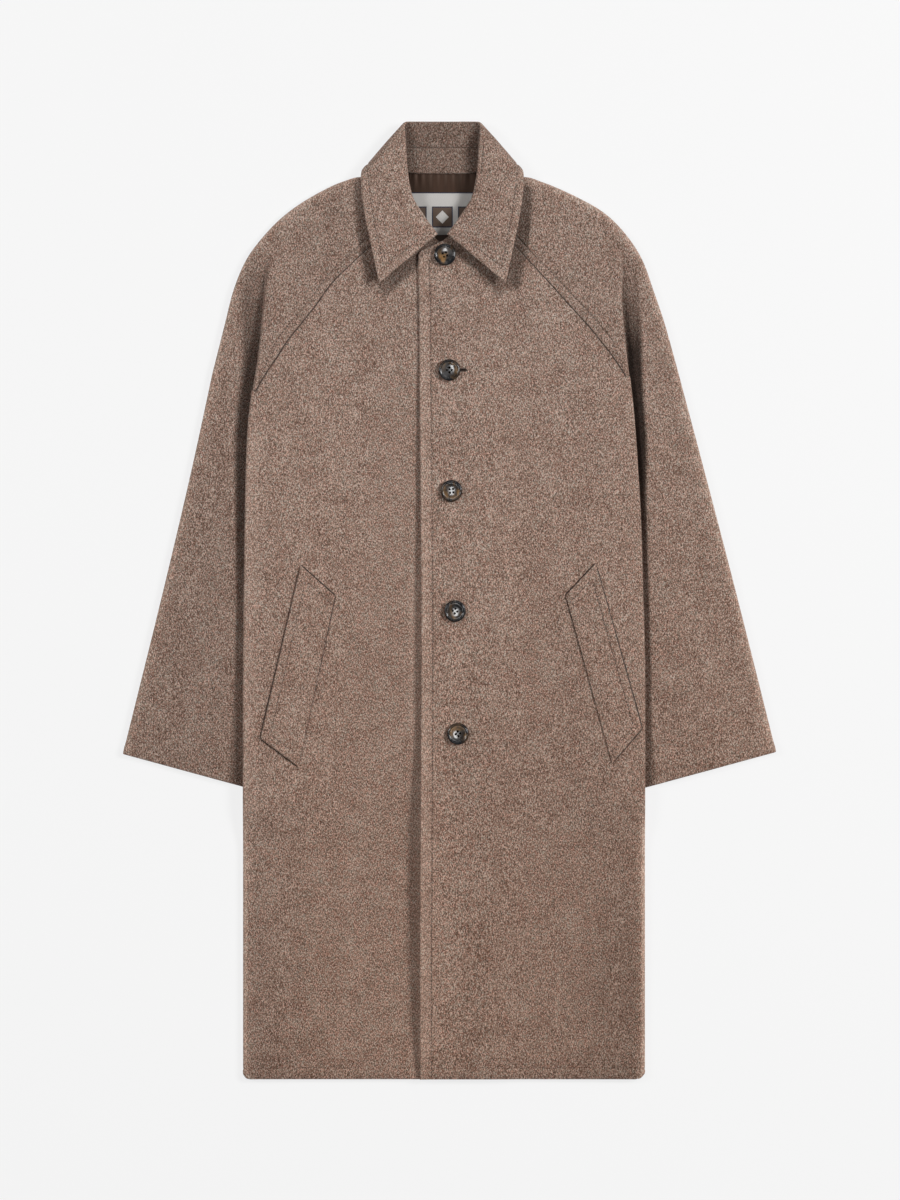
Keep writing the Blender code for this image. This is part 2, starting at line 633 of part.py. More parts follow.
def collar(count=41):
    """Grids of the fall and the stand: from the neck seam up, over the roll and down the leaf."""
    fold, edge, strip, seam, bow = collar_lines(count)
    ahead = unit(np.gradient(fold, axis=0))
    crest = unit(unit(fold - strip) + unit(fold - edge))
    inside = unit(np.cross(ahead, crest))
    facing = np.sign(np.sum(inside * (strip - edge), axis=1, keepdims=True))
    inside = inside * facing
    roll_in = fold - crest * ROLL + inside * ROLL
    roll_out = fold - crest * ROLL - inside * ROLL
    rise = unit(strip - seam)
    climb = unit(roll_in - strip)
    joint = unit(rise + climb)
    fall = unit(edge - roll_out)
    outward = unit(-inside + fall * np.sum(inside * fall, axis=1, keepdims=True))
    length = np.linalg.norm(edge - roll_out, axis=1, keepdims=True)
    leave = unit(fall + outward * bow[:, None] / length)
    land = unit(fall - outward * 0.3 * bow[:, None] / length)

    from_back = np.abs(np.linspace(-1.0, 1.0, count))[:, None]
    apart = 0.5 * (COLLAR_GAP[0] + (COLLAR_GAP[1] - COLLAR_GAP[0]) * ease((from_back - 0.10) / 0.12))
    stand_grid = arch(seam, strip - joint * apart, rise, joint, shares(4))
    parts = (
        arch(strip + joint * apart, roll_in, joint, climb, shares(3)),
        arch(roll_in, fold, climb, -inside, shares(3)[1:], 1.17),
        arch(fold, roll_out, -inside, leave, shares(3)[1:], 1.17),
        arch(roll_out, edge, leave, land, shares(7)[1:]),
    )
    return np.concatenate(parts, axis=1), stand_grid


def patch(reach, y, columns, above):
    """Rectangle of thin cloth lying on the back, its middle this far above the back's middle."""
    across = COLLAR_CENTRE - CENTRE + np.linspace(-reach, reach, columns)[None, :]
    y = np.asarray(y)[:, None]
    return place("left", across, y, back_height(across, y) + above)


def welt(side, rows=9, columns=4):
    """Welt on a front, made from the front's points and moved out."""
    upper_in, upper_out, lower_out, lower_in = [np.array(corner) for corner in WELT[side]]
    down = shares(rows)[:, None, None]
    out = shares(columns)[None, :, None]
    inner = upper_in + (lower_in - upper_in) * down
    outer = upper_out + (lower_out - upper_out) * down
    plan = inner + (outer - inner) * out
    above = CLOTH / 2 + GAP + 0.0002 + WELT_THICK / 2
    height = front_height(side, plan[..., 0], plan[..., 1]) + above
    return place(side, plan[..., 0], plan[..., 1], height)


def spun(section, segments):
    """Turned solid from a half section that starts on the face and ends on the underside."""
    made = bmesh.new()
    rings = []
    for radius, height in section:
        ring = []
        for step in range(segments):
            angle = 2.0 * math.pi * step / segments
            ring.append(made.verts.new((radius * math.cos(angle), radius * math.sin(angle), height)))
        rings.append(ring)
    for upper, lower in zip(rings[:-1], rings[1:]):
        for step in range(segments):
            after = (step + 1) % segments
            made.faces.new((upper[step], lower[step], lower[after], upper[after]))
    made.faces.new(rings[0])
    made.faces.new(list(reversed(rings[-1])))
    bmesh.ops.recalc_face_normals(made, faces=made.faces)
    return made


def button_mesh():
    """Turned button with four holes cut through it."""
    body = spun(BUTTON_SECTION, BUTTON_SEGMENTS)
    mesh = bpy.data.meshes.new("button_body")
    body.to_mesh(mesh)
    body.free()
    drills = bmesh.new()
    for step in range(4):
        angle = math.pi / 4 + step * math.pi / 2
        made = bmesh.ops.create_cone(
            drills, cap_ends=True, segments=6, radius1=HOLE_RADIUS, radius2=HOLE_RADIUS, depth=0.012,
            matrix=Matrix.Rotation(HOLE_TURN, 4, "Z"))
        shift = (HOLE_OUT * math.cos(angle), HOLE_OUT * math.sin(angle), 0.0)
        bmesh.ops.translate(drills, verts=made["verts"], vec=shift)
    drill_mesh = bpy.data.meshes.new("button_drills")
    drills.to_mesh(drill_mesh)
    drills.free()
    whole = bpy.data.objects.new("button_whole", mesh)
    cutter = bpy.data.objects.new("button_cutter", drill_mesh)
    bpy.context.collection.objects.link(whole)
    bpy.context.collection.objects.link(cutter)
    cut = whole.modifiers.new("holes", "BOOLEAN")
    cut.operation = "DIFFERENCE"
    cut.object = cutter
    cut.solver = "EXACT"
    graph = bpy.context.evaluated_depsgraph_get()
    drilled = bpy.data.meshes.new_from_object(whole.evaluated_get(graph))
    bpy.data.objects.remove(whole, do_unlink=True)
    bpy.data.objects.remove(cutter, do_unlink=True)
    return drilled


def add_buttons():
    """Five buttons on the left front, each resting just above the cloth under it."""
    drilled = button_mesh()
    ring = np.linspace(0.0, 2.0 * math.pi, 25)
    reach = np.array((0.0, 0.4, 0.75, 1.0))[:, None] * BUTTON_RADIUS
    for index, ((x, y), turned) in enumerate(zip(BUTTON_AT, BUTTON_TURN), start=1):
        under = front_height("left", x - CENTRE + reach * np.cos(ring), y + reach * np.sin(ring))
        bottom = float(under.max()) + CLOTH / 2 + GAP
        spun_mesh = drilled.copy()
        shaped = bmesh.new()
        shaped.from_mesh(spun_mesh)
        about = Matrix.Rotation(turned, 3, "Z")
        bmesh.ops.rotate(shaped, cent=(0.0, 0.0, 0.0), matrix=about, verts=shaped.verts)
        bmesh.ops.translate(shaped, vec=(x, y, bottom), verts=shaped.verts)
        shaped.to_mesh(spun_mesh)
        shaped.free()
        spun_mesh.materials.clear()
        add_object("button_%d" % index, spun_mesh, "horn")


underarms = {}
for side in SIDES:
    grid, present, underarms[side] = sleeve_front(side)
    cloth("sleeve_%s_front" % side, grid, present=present)
    cloth("sleeve_%s_back" % side, sleeve_back(side, underarms[side]))
    grid, present = front(side)
    cloth("front_%s" % side, grid, present=present)
    cloth("welt_%s" % side, welt(side), thickness=WELT_THICK)
cloth("back", back_panel(underarms))
fall_grid, stand_grid = collar()
cloth("collar_fall", fall_grid)
cloth("collar_stand", stand_grid)
lining_above = CLOTH / 2 + GAP + THIN / 2
lining_rows = np.append(NECK_ROWS_Y, LINING_TOP_Y)
cloth("lining_back_neck", patch(LINING_ACROSS, lining_rows, 7, lining_above), thickness=THIN, finish="satin")
label_rows = np.concatenate(((LABEL_Y[0],), NECK_ROWS_Y[2:-2], (LABEL_Y[1],)))
cloth("label", patch(LABEL_ACROSS, label_rows, 5, lining_above + GAP + THIN), thickness=THIN, finish="label")
add_buttons()
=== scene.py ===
"""Looks of a car coat that lies flat on its back, buttoned: wool, stitching, satin, label and horn buttons.

Metres, +Z up from the floor, +Y towards the collar, +X to the wearer's left.
"across" is the distance from the centre line towards the side being made.
"""
import math

import bpy
import numpy as np
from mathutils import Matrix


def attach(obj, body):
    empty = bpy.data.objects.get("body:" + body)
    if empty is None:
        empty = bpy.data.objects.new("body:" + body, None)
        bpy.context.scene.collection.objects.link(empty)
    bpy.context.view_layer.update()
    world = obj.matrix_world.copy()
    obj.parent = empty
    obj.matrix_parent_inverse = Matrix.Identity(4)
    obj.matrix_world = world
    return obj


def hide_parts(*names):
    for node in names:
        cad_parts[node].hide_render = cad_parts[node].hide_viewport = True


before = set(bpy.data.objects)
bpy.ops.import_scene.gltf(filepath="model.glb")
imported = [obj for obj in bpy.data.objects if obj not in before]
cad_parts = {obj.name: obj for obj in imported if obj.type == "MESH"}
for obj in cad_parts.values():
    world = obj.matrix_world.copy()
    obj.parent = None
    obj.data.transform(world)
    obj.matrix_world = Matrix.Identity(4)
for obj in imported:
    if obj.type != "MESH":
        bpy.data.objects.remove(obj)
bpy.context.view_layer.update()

# Raglan sleeves.
# Each is a front and a back half of heavy wool, joined along the overarm edge and lying flat on each other.
# The front half is sewn to the coat's front, topstitched beside that seam, and pleated over the side fold.
CLOTH = 0.0030            # wool with its interlining
GAP = 0.0003              # between pieces at a seam and in a stack
PITCH = CLOTH + GAP       # one cloth lying on another
CENTRE = -0.0069          # x of the centre line
SIDES = {"right": -1.0, "left": 1.0}
CROSSING_Y = {"right": 0.2430, "left": 0.2590}   # where the raglan seam runs round the side fold
# rise above the crossing, across on the right, across on the left, turn in degrees, radius, tuck
FOLD = (
    (-0.8200, 0.2303, 0.2316, 180.0, 0.0025, 0.034),
    (-0.3550, 0.2303, 0.2315, 180.0, 0.0025, 0.034),
    (-0.2400, 0.2293, 0.2290, 180.0, 0.0025, 0.034),
    (-0.1600, 0.2282, 0.2265, 180.0, 0.0025, 0.034),
    (-0.0910, 0.2268, 0.2224, 180.0, 0.0025, 0.034),
    (-0.0450, 0.2247, 0.2189, 180.0, 0.0025, 0.034),
    (0.0000, 0.2196, 0.2141, 180.0, 0.0025, 0.034),
    (0.0253, 0.2150, 0.2116, 168.0, 0.0025, 0.008),
    (0.0633, 0.2094, 0.2076, 130.0, 0.0028, 0.002),
    (0.1058, 0.2050, 0.2041, 70.0, 0.0042, 0.002),
    (0.1472, 0.1980, 0.2012, 24.0, 0.0160, 0.002),
    (0.1668, 0.1938, 0.2001, 6.0, 0.0700, 0.002),
    (0.2185, 0.1892, 0.1972, 1.0, 0.4000, 0.002),
)
FOLD_SPREAD = 0.160       # the fronts come down to the back within this breadth
LOW_BULGE = 0.0017        # the side fold stands this much above flat below the cuffs
CUFF_CLEAR_Y = (-0.2850, -0.2280)   # the side comes down off the cuff between these
# The cloth stands higher still beside its side fold: y, height on the right and on the left
SIDE_LIFT = (
    (-0.2850, 0.0000, 0.0000),
    (-0.2050, 0.0008, 0.0010),
    (-0.0300, 0.0008, 0.0012),
    (0.0600, 0.0018, 0.0012),
    (0.2300, 0.0030, 0.0014),
    (0.3400, 0.0000, 0.0000),
    (0.4100, 0.0000, 0.0000),
)
SIDE_LIFT_BREADTH = 0.075
BACK_RISE = 0.0033        # the back lies on the collar's back leaf
BACK_RISE_Y = (0.4250, 0.4580)
BACK_RISE_ACROSS = (0.100, 0.135)
TOP_RISE = 0.0062         # the fronts lie on the lining at the neck
TOP_RISE_Y = (0.2600, 0.3970)
TOP_RISE_ACROSS = (0.100, 0.160)
# Sections from the neck to the crossing:
# seam across, seam y, overarm across, overarm y, share of the section at which it folds
SHOULDER = {
    "right": (
        (0.0374, 0.4560, 0.0449, 0.4850, 0.75),
        (0.0604, 0.4307, 0.0673, 0.4850, 0.75),
        (0.0853, 0.4059, 0.0949, 0.4865, 0.75),
        (0.1075, 0.3847, 0.1168, 0.4808, 0.75),
        (0.1294, 0.3628, 0.1537, 0.4628, 0.75),
        (0.1449, 0.3410, 0.1831, 0.4424, 0.75),
        (0.1621, 0.3191, 0.2068, 0.4186, 0.75),
        (0.1794, 0.2973, 0.2265, 0.3916, 0.54),
        (0.1926, 0.2766, 0.2409, 0.3571, 0.35),
        (0.2064, 0.2559, 0.2513, 0.3168, 0.18),
        (0.2153, 0.2403, 0.2656, 0.2616, 0.08),
    ),
    "left": (
        (0.0374, 0.4560, 0.0425, 0.4850, 0.75),
        (0.0592, 0.4307, 0.0650, 0.4850, 0.75),
        (0.0837, 0.4054, 0.0926, 0.4865, 0.75),
        (0.1052, 0.3824, 0.1146, 0.4803, 0.75),
        (0.1253, 0.3605, 0.1541, 0.4633, 0.75),
        (0.1443, 0.3392, 0.1846, 0.4456, 0.76),
        (0.1627, 0.3191, 0.2099, 0.4203, 0.78),
        (0.1788, 0.2996, 0.2283, 0.3916, 0.51),
        (0.1930, 0.2815, 0.2409, 0.3571, 0.30),
        (0.2025, 0.2675, 0.2536, 0.3203, 0.16),
        (0.2093, 0.2570, 0.2674, 0.2720, 0.073),
    ),
}
# Below the crossing: inner edge across, its y, overarm across, its y; the last row is the cuff
ARM = {
    "right": (
        (0.1870, 0.1200, 0.2884, 0.1560),
        (0.1915, -0.0150, 0.3190, 0.0250),
        (0.1989, -0.2226, 0.3686, -0.1763),
    ),
    "left": (
        (0.1826, 0.1200, 0.2998, 0.1500),
        (0.1900, -0.0150, 0.3337, 0.0200),
        (0.2001, -0.2237, 0.3824, -0.1740),
    ),
}
ARM_KNOTS = (0.0, 0.28, 0.56, 1.0)   # how far down the arm these rows lie
BACK_NECK = (0.0320, 0.4836)         # where the back raglan seam meets the neck: across, y
EDGE_END = 0.0004         # upright end of the cloth at the overarm edge
EDGE_BULGE = 0.0018       # the front half rises this much to the overarm edge
EDGE_SPREAD = 0.022       # within this breadth
# Beside the body: y, swell of the front half on the right and on the left, depth of the painted shade in the
# crevice on both
SLEEVE_PUFF = (
    (-0.2250, 0.0008, 0.0016, 1.05, 1.15),
    (-0.1700, 0.0014, 0.0036, 0.75, 0.90),
    (-0.0900, 0.0018, 0.0050, 0.50, 0.80),
    (0.0100, 0.0022, 0.0056, 1.05, 1.10),
    (0.0800, 0.0026, 0.0068, 1.55, 1.55),
    (0.1500, 0.0028, 0.0088, 1.70, 2.35),
    (0.2100, 0.0028, 0.0086, 1.80, 2.85),
    (0.2700, 0.0024, 0.0080, 1.80, 2.65),
    (0.3200, 0.0018, 0.0062, 1.40, 1.70),
    (0.3550, 0.0012, 0.0042, 0.95, 1.00),
    (0.3850, 0.0006, 0.0020, 0.45, 0.40),
    (0.4150, 0.0000, 0.0000, 0.00, 0.00),
    (0.4400, 0.0000, 0.0000, 0.00, 0.00),
)
PUFF_GUTTER = {"right": 0.0040, "left": -0.0010}   # it starts this far from the body,
PUFF_RISE = {"right": 0.030, "left": 0.011}   # rises within this breadth
PUFF_FALL = 0.080         # and falls again within this beside the overarm edge
# Painted shade in the crevice beside the body: y, its middle out from the side fold on the right
# and on the left, half its breadth on both, how much steeper its borders are than an ease over that
CREVICE = (
    (-0.2250, 0.0030, 0.0030, 0.0170, 0.0120, 2.6),
    (-0.1870, 0.0030, 0.0030, 0.0155, 0.0099, 2.6),
    (-0.1380, 0.0030, 0.0030, 0.0119, 0.0065, 2.6),
    (-0.0690, 0.0030, 0.0030, 0.0072, 0.0062, 2.6),
    (0.0000, 0.0030, 0.0030, 0.0064, 0.0052, 2.6),
    (0.0690, 0.0030, 0.0030, 0.0082, 0.0054, 2.6),
    (0.1270, 0.0032, 0.0032, 0.0107, 0.0066, 2.4),
    (0.1800, 0.0045, 0.0040, 0.0130, 0.0100, 2.0),
    (0.2300, 0.0048, 0.0044, 0.0140, 0.0110, 1.7),
    (0.2760, 0.0071, 0.0070, 0.0140, 0.0118, 1.7),
    (0.3226, 0.0118, 0.0095, 0.0165, 0.0132, 1.7),
    (0.3686, 0.0150, 0.0090, 0.0210, 0.0150, 1.7),
    (0.4150, 0.0150, 0.0090, 0.0210, 0.0150, 1.7),
)
SLEEVE_TONE = {"right": (-0.25, -0.40), "left": (-0.33, -0.31)}   # at the shoulder and at the cuff
SLEEVE_TONE_Y = (0.250, 0.050)   # it changes between these
EDGE_LIGHT = 1.9          # painted highlight along the overarm edge
EDGE_LIGHT_BREADTH = {"right": 0.0028, "left": 0.0042}
# Outline of the collar's leaf, beside which its shadow is painted on the cloth:
# across, y, breadth of the painted shadow on the right and on the left
LEAF_LINE = (
    (0.0065, 0.4185, 0.0135, 0.0120),
    (0.0725, 0.3632, 0.0180, 0.0190),
    (0.0808, 0.4031, 0.0150, 0.0195),
    (0.0884, 0.4387, 0.0080, 0.0170),
    (0.0930, 0.4721, 0.0040, 0.0125),
)
LEAF_SHADE = {"right": (1.45, 0.8, 0.6, 0.4), "left": (1.1, 1.45, 1.45, 1.3)}   # depth of the painted shadow beside each stretch of it
LEAF_SHADE_FADE = 0.0045  # sideways
LEAF_SHADE_END = 0.0090   # and past the end of a stretch
LEAF_SHIFT = {"right": 0.0013, "left": -0.0013}   # of the collar from the coat's centre line
ARM_LENGTH = 0.45
CUFF_STITCH = 0.0120      # the cuff's stitching lies this far from its edge
SEAM_STITCH = 0.0115      # topstitching beside the raglan seam
GROOVE = 0.0013           # depth of a topstitched groove
HEM_GROOVE = 0.4 * GROOVE   # and of one at the cuffs and at the hem
GROOVE_WIDTH = 0.0011
PUFF = 0.0005             # swell of the cloth between a seam and its topstitching
BLUNT_FROM = math.radians(60)     # a fold that turns further than this starts earlier,
BLUNT_SPREAD = math.radians(30)   # by half a cloth more within this
LEAST_FLAT = 0.0004       # breadth that stays flat beside the seam
UNSEWN_ROWS = 6           # topstitching stops this many rows before the crossing


def ease(share):
    """Smooth step: 3 s^2 - 2 s^3 of a share clipped to 0 and 1."""
    share = np.clip(share, 0.0, 1.0)
    return share * share * (3.0 - 2.0 * share)


def eased(value, limits):
    """Smooth step of a value from 0 at the first limit to 1 at the second."""
    return ease((value - limits[0]) / (limits[1] - limits[0]))


def shares(count):
    """Evenly spaced numbers from 0 to 1."""
    return np.linspace(0.0, 1.0, count)


def column(table, index):
    """One column of a table as an array."""
    return np.array([row[index] for row in table], dtype=float)


def curve(knots, values, at):
    """Cubic through the values with harmonic-mean slopes, so it never overshoots; held beyond its ends."""
    knots = np.asarray(knots, dtype=float)
    values = np.asarray(values, dtype=float)
    step = np.diff(knots)
    slope = np.diff(values) / step
    both = slope[:-1] * slope[1:]
    total = slope[:-1] + slope[1:]
    tangent = np.zeros(len(knots))
    tangent[0] = slope[0]
    tangent[-1] = slope[-1]
    tangent[1:-1] = np.where(both > 0.0, 2.0 * both / np.where(total == 0.0, 1.0, total), 0.0)
    at = np.clip(np.asarray(at, dtype=float), knots[0], knots[-1])
    cell = np.clip(np.searchsorted(knots, at, side="right") - 1, 0, len(step) - 1)
    t = (at - knots[cell]) / step[cell]
    low = values[cell] * (1.0 + 2.0 * t) * (1.0 - t) ** 2 + values[cell + 1] * t * t * (3.0 - 2.0 * t)
    bend = tangent[cell] * t * (1.0 - t) ** 2 - tangent[cell + 1] * t * t * (1.0 - t)
    return low + step[cell] * bend


def by_side(table, side, first, at):
    """Curve through a column of a table: the first that is named on the right, the next on the left."""
    index = first if side == "right" else first + 1
    return curve(column(table, 0), column(table, index), at)


def fold_across(side, y):
    """Outermost line of the side fold: a curve through the fold table."""
    return by_side(FOLD, side, 1, y - CROSSING_Y[side])


def fold_shape(side, y):
    """Turn in radians, radius and tuck of the fold at height y of the coat, from the fold table."""
    rise = y - CROSSING_Y[side]
    knots = column(FOLD, 0)
    turn = np.radians(curve(knots, column(FOLD, 3), rise))
    radius = np.exp(curve(knots, np.log(column(FOLD, 4)), rise))
    tuck = curve(knots, column(FOLD, 5), rise)
    return turn, radius, tuck


def fold_height(side, y):
    """Height of the upper cloth over the lower one at the fold: two arcs and the tuck between them."""
    turn, radius, tuck = fold_shape(side, y)
    full = 2.0 * radius * (1.0 - np.cos(turn)) + tuck * np.sin(turn)
    return LOW_BULGE + (full - LOW_BULGE) * eased(y, CUFF_CLEAR_Y)


def neck_share(across, y, range_y, range_across):
    """1 at the neck, easing to 0 down the coat and out to the side."""
    return eased(y, range_y) * eased(np.abs(across), range_across[::-1])


def back_height(across, y):
    """Middle of the cloth of the back and the sleeve backs: half a cloth, more at the neck."""
    return CLOTH / 2 + BACK_RISE * neck_share(across, y, BACK_RISE_Y, BACK_RISE_ACROSS)


def lower_height(across, y):
    """Middle of the cloth that lies on the back or on a sleeve back."""
    return CLOTH / 2 + PITCH + TOP_RISE * neck_share(across, y, TOP_RISE_Y, TOP_RISE_ACROSS)


def overarm_height(across, y):
    """Lower height with the bulge of the overarm edge, which the neck's own rise replaces."""
    share = neck_share(across, y, TOP_RISE_Y, TOP_RISE_ACROSS)
    return lower_height(across, y) + EDGE_BULGE * (1.0 - share)


def upper_height(side, across, y):
    """Lower height raised to the side fold as a cosine of the distance, and a little more beside it."""
    away = fold_across(side, y) - across
    swell = 0.5 * (1.0 + np.cos(math.pi * np.clip(away / FOLD_SPREAD, 0.0, 1.0)))
    lift = by_side(SIDE_LIFT, side, 1, y) * ease(1.0 - away / SIDE_LIFT_BREADTH)
    return lower_height(across, y) + fold_height(side, y) * swell + lift


def place(side, across, y, z):
    """Grid of points from across, y and z."""
    across, y, z = np.broadcast_arrays(across, y, z)
    return np.stack((CENTRE + SIDES[side] * across, y, z), axis=-1)


def sleeve_puff(side, across, y, inside):
    """Swell of the sleeve: half a cosine wave up beside the body, eased down to the overarm edge."""
    run = np.clip((across - fold_across(side, y) - PUFF_GUTTER[side]) / PUFF_RISE[side], 0.0, 1.0)
    height = by_side(SLEEVE_PUFF, side, 1, y)
    return height * 0.5 * (1.0 - np.cos(math.pi * run)) * ease(inside / PUFF_FALL)


def leaf_shade(side, across, y):
    """Painted shadow beside the collar's leaf: a level by each stretch of its outline, eased out all round.
    """
    shade = np.zeros(np.broadcast(across, y).shape)
    index = 2 if side == "right" else 3
    for start, end, depth in zip(LEAF_LINE[:-1], LEAF_LINE[1:], LEAF_SHADE[side]):
        along = np.array(end[:2]) - np.array(start[:2])
        off_a = across - start[0] - LEAF_SHIFT[side]
        off_y = y - start[1]
        passed = (off_a * along[0] + off_y * along[1]) / (along @ along)
        run = np.clip(passed, 0.0, 1.0)
        beyond = np.abs(passed - run) * np.hypot(*along)
        away = np.hypot(off_a - run * along[0], off_y - run * along[1])
        breadth = start[index] + (end[index] - start[index]) * run
        level = depth * ease((breadth - away) / LEAF_SHADE_FADE) * ease(1.0 - beyond / LEAF_SHADE_END)
        shade = np.maximum(shade, level)
    return shade


def sleeve_tone(side, points, lead):
    """Tone of a sleeve: painted highlight by an exponential at the overarm edge, painted shade eased into
    the crevice.

    The crevice lies beside the body, beyond the fold, from the leading column on.
    """
    across = (points[..., 0] - CENTRE) * SIDES[side]
    y = points[..., 1]
    to_edge = np.linalg.norm(points[..., :2] - points[:, -1:, :2], axis=-1)
    at_shoulder, at_cuff = SLEEVE_TONE[side]
    tone = at_shoulder + (at_cuff - at_shoulder) * eased(y, SLEEVE_TONE_Y)
    tone = tone + EDGE_LIGHT * np.exp(-to_edge / EDGE_LIGHT_BREADTH[side]) - leaf_shade(side, across, y)
    off = across - fold_across(side, y) - by_side(CREVICE, side, 1, y)
    firm = curve(column(CREVICE, 0), column(CREVICE, 5), y)
    beside = ease(firm * (1.0 - np.abs(off) / by_side(CREVICE, side, 3, y)))
    tone[:, lead:] -= (by_side(SLEEVE_PUFF, side, 3, y) * beside)[:, lead:]
    return tone


RIM = np.array((0.0, 0.0001, 0.0004, 0.0009, 0.0016))      # grid steps that round an edge
FOLD_STEP = np.array((0.0, 0.0015))      # grid step before a fold
GROOVE_STEPS = np.array((-0.0025, -0.0015, -0.0007, 0.0, 0.0007, 0.0015, 0.0025))
END_SHARE = 0.45          # of a short distance, the most that the steps at one end take up


def edge_steps(stitch):
    """Distances from an edge: the rim's, one half way, and those across a groove at the stitching."""
    return np.concatenate((RIM, (0.5 * stitch,), stitch + GROOVE_STEPS))


def spread(total, near, count, tail):
    """Distances from 0 to each total: near ones, count even ones, then tail ones back from the total.

    Where a total is short, the near and tail ones shrink with it.
    """
    total = np.asarray(total)[:, None]
    start = near * np.minimum(1.0, END_SHARE * total / near[-1])
    end = total - tail[::-1] * np.minimum(1.0, END_SHARE * total / tail[-1])
    even = start[:, -1:] + (end[:, :1] - start[:, -1:]) * shares(count + 2)[1:-1]
    return np.concatenate((start, even, end), axis=1)


def groove(distance, stitch, depth=GROOVE):
    """Relief of topstitching: a bell-shaped groove, and a slight swell between it and the edge."""
    dip = -depth * np.exp(-((distance - stitch) / GROOVE_WIDTH) ** 2)
    swell = np.sin(math.pi * np.clip(distance / stitch, 0.0, 1.0))
    return dip + PUFF * swell


def row_steps(points, present):
    """Sum of the steps to the rows before and after each point, where those points are there."""
    both = (present[1:] & present[:-1])[..., None]
    step = np.where(both, np.diff(points, axis=0), 0.0)
    total = np.zeros_like(points)
    total[1:] += step
    total[:-1] += step
    return total


def border_distance(points, present, passes=8):
    """Distance from the sheet's border along the grid lines.

    Points with a missing neighbour start at 0. Each pass lets a point take a neighbour's distance plus the
    step between them.
    """
    rows, columns = present.shape
    padded = np.pad(present, 1)
    inside = np.ones_like(present)
    for down in range(3):
        for along in range(3):
            inside &= padded[down:down + rows, along:along + columns]
    away = np.where(inside, 1.0, 0.0)
    row_step = np.linalg.norm(np.diff(points, axis=0), axis=-1)
    column_step = np.linalg.norm(np.diff(points, axis=1), axis=-1)
    for _ in range(passes):
        away[1:] = np.minimum(away[1:], away[:-1] + row_step)
        away[:-1] = np.minimum(away[:-1], away[1:] + row_step)
        away[:, 1:] = np.minimum(away[:, 1:], away[:, :-1] + column_step)
        away[:, :-1] = np.minimum(away[:, :-1], away[:, 1:] + column_step)
    return away


def add_piece(name, points, faces, finish, tone=None):
    """Mesh object at the origin, shaded smooth, that rides on the coat; tone is a number for each point."""
    mesh = bpy.data.meshes.new(name)
    mesh.from_pydata(points, [], faces)
    if tone is not None:
        mesh.attributes.new("tone", "FLOAT", "POINT").data.foreach_set("value", tone)
    mesh.validate()
    mesh.shade_smooth()
    mesh.materials.append(finish)
    piece = bpy.data.objects.new(name, mesh)
    bpy.context.collection.objects.link(piece)
    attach(piece, "root")
    return piece


def sheet_mesh(name, points, finish, thickness=CLOTH, present=None, relief=0.0, facing=(0, 0),
               tone=0.0):
    """Closed sheet of cloth round a grid of middle points; gives the piece, its top points and its normals.

    Both faces lie half a thickness off along the normal, times sqrt(1 - (1 - d)^2) of the distance d from
    the border in half thicknesses, which rounds the rim. The relief is added on the top face alone, and the
    floor flattens what would go below it. At the grid point that facing names, the normal points up.
    """
    if present is None:
        present = np.ones(points.shape[:2], dtype=bool)
    down = row_steps(points, present)
    along = row_steps(points.swapaxes(0, 1), present.T).swapaxes(0, 1)
    normal = np.cross(along, down)
    normal = normal / np.maximum(np.linalg.norm(normal, axis=-1, keepdims=True), 1e-12)
    downward = normal[facing][2] < 0.0
    if downward:
        normal = -normal
    half = thickness / 2
    away = border_distance(points, present)
    rounding = np.sqrt(1.0 - (1.0 - np.clip(away / half, 0.0, 1.0)) ** 2)
    top = points + normal * ((half + relief) * rounding)[..., None]
    under = points - normal * (half * rounding)[..., None]

    upper = np.full(present.shape, -1)
    upper[present] = np.arange(int(present.sum()))
    inner = present & (away > 0.0)
    lower = upper.copy()
    lower[inner] = int(present.sum()) + np.arange(int(inner.sum()))
    faces = []
    for number, flip in ((upper, downward), (lower, not downward)):
        corners = (number[:-1, :-1], number[:-1, 1:], number[1:, 1:], number[1:, :-1])
        quads = np.stack(corners[::-1] if flip else corners, axis=-1).reshape(-1, 4)
        faces.append(quads[(quads >= 0).all(axis=1)])
    vertices = np.concatenate((top[present], under[inner]))
    vertices[:, 2] = np.maximum(vertices[:, 2], 0.0)
    tone = np.broadcast_to(tone, present.shape)
    tone = np.concatenate((tone[present], tone[inner]))
    piece = add_piece(name, vertices.tolist(), np.concatenate(faces).tolist(), finish, tone)
    return piece, top, normal


def node(tree, kind, values, **settings):
    """Adds a shader node; values are numbers for its sockets, or sockets that are linked to them."""
    made = tree.nodes.new("ShaderNode" + kind)
    for key, value in settings.items():
        setattr(made, key, value)
    for key, value in values.items():
        if isinstance(value, bpy.types.NodeSocket):
            tree.links.new(value, made.inputs[key])
        else:
            made.inputs[key].default_value = value
    return made


def new_material(name, values):
    """Principled material with values on its sockets; gives it, its tree, shader and Object coordinates."""
    made = bpy.data.materials.new(name)
    made.use_nodes = True
    tree = made.node_tree
    shader = tree.nodes["Principled BSDF"]
    for key, value in values.items():
        shader.inputs[key].default_value = value
    return made, tree, shader, node(tree, "TexCoord", {}).outputs["Object"]


def blend(tree, share, first, second, kind="MIX"):
    """Colour between two others, or one laid on the other in another way."""
    made = node(tree, "Mix", {0: share, 6: first, 7: second}, data_type="RGBA", blend_type=kind)
    return made.outputs[2]


def times(tree, colour, factor):
    """Colour multiplied by another."""
    return blend(tree, 1.0, colour, factor, "MULTIPLY")


def maths(tree, first, second, kind="ADD"):
    """The sum of two numbers, or what another kind of arithmetic makes of them."""
    return node(tree, "Math", {0: first, 1: second}, operation=kind).outputs[0]


def rising(tree, value, limits, least=0.0):
    """Number that runs evenly from the least to 1 as the value runs from one limit to the other."""
    return node(tree, "MapRange", {0: value, 1: limits[0], 2: limits[1], 3: least, 4: 1.0}).outputs[0]


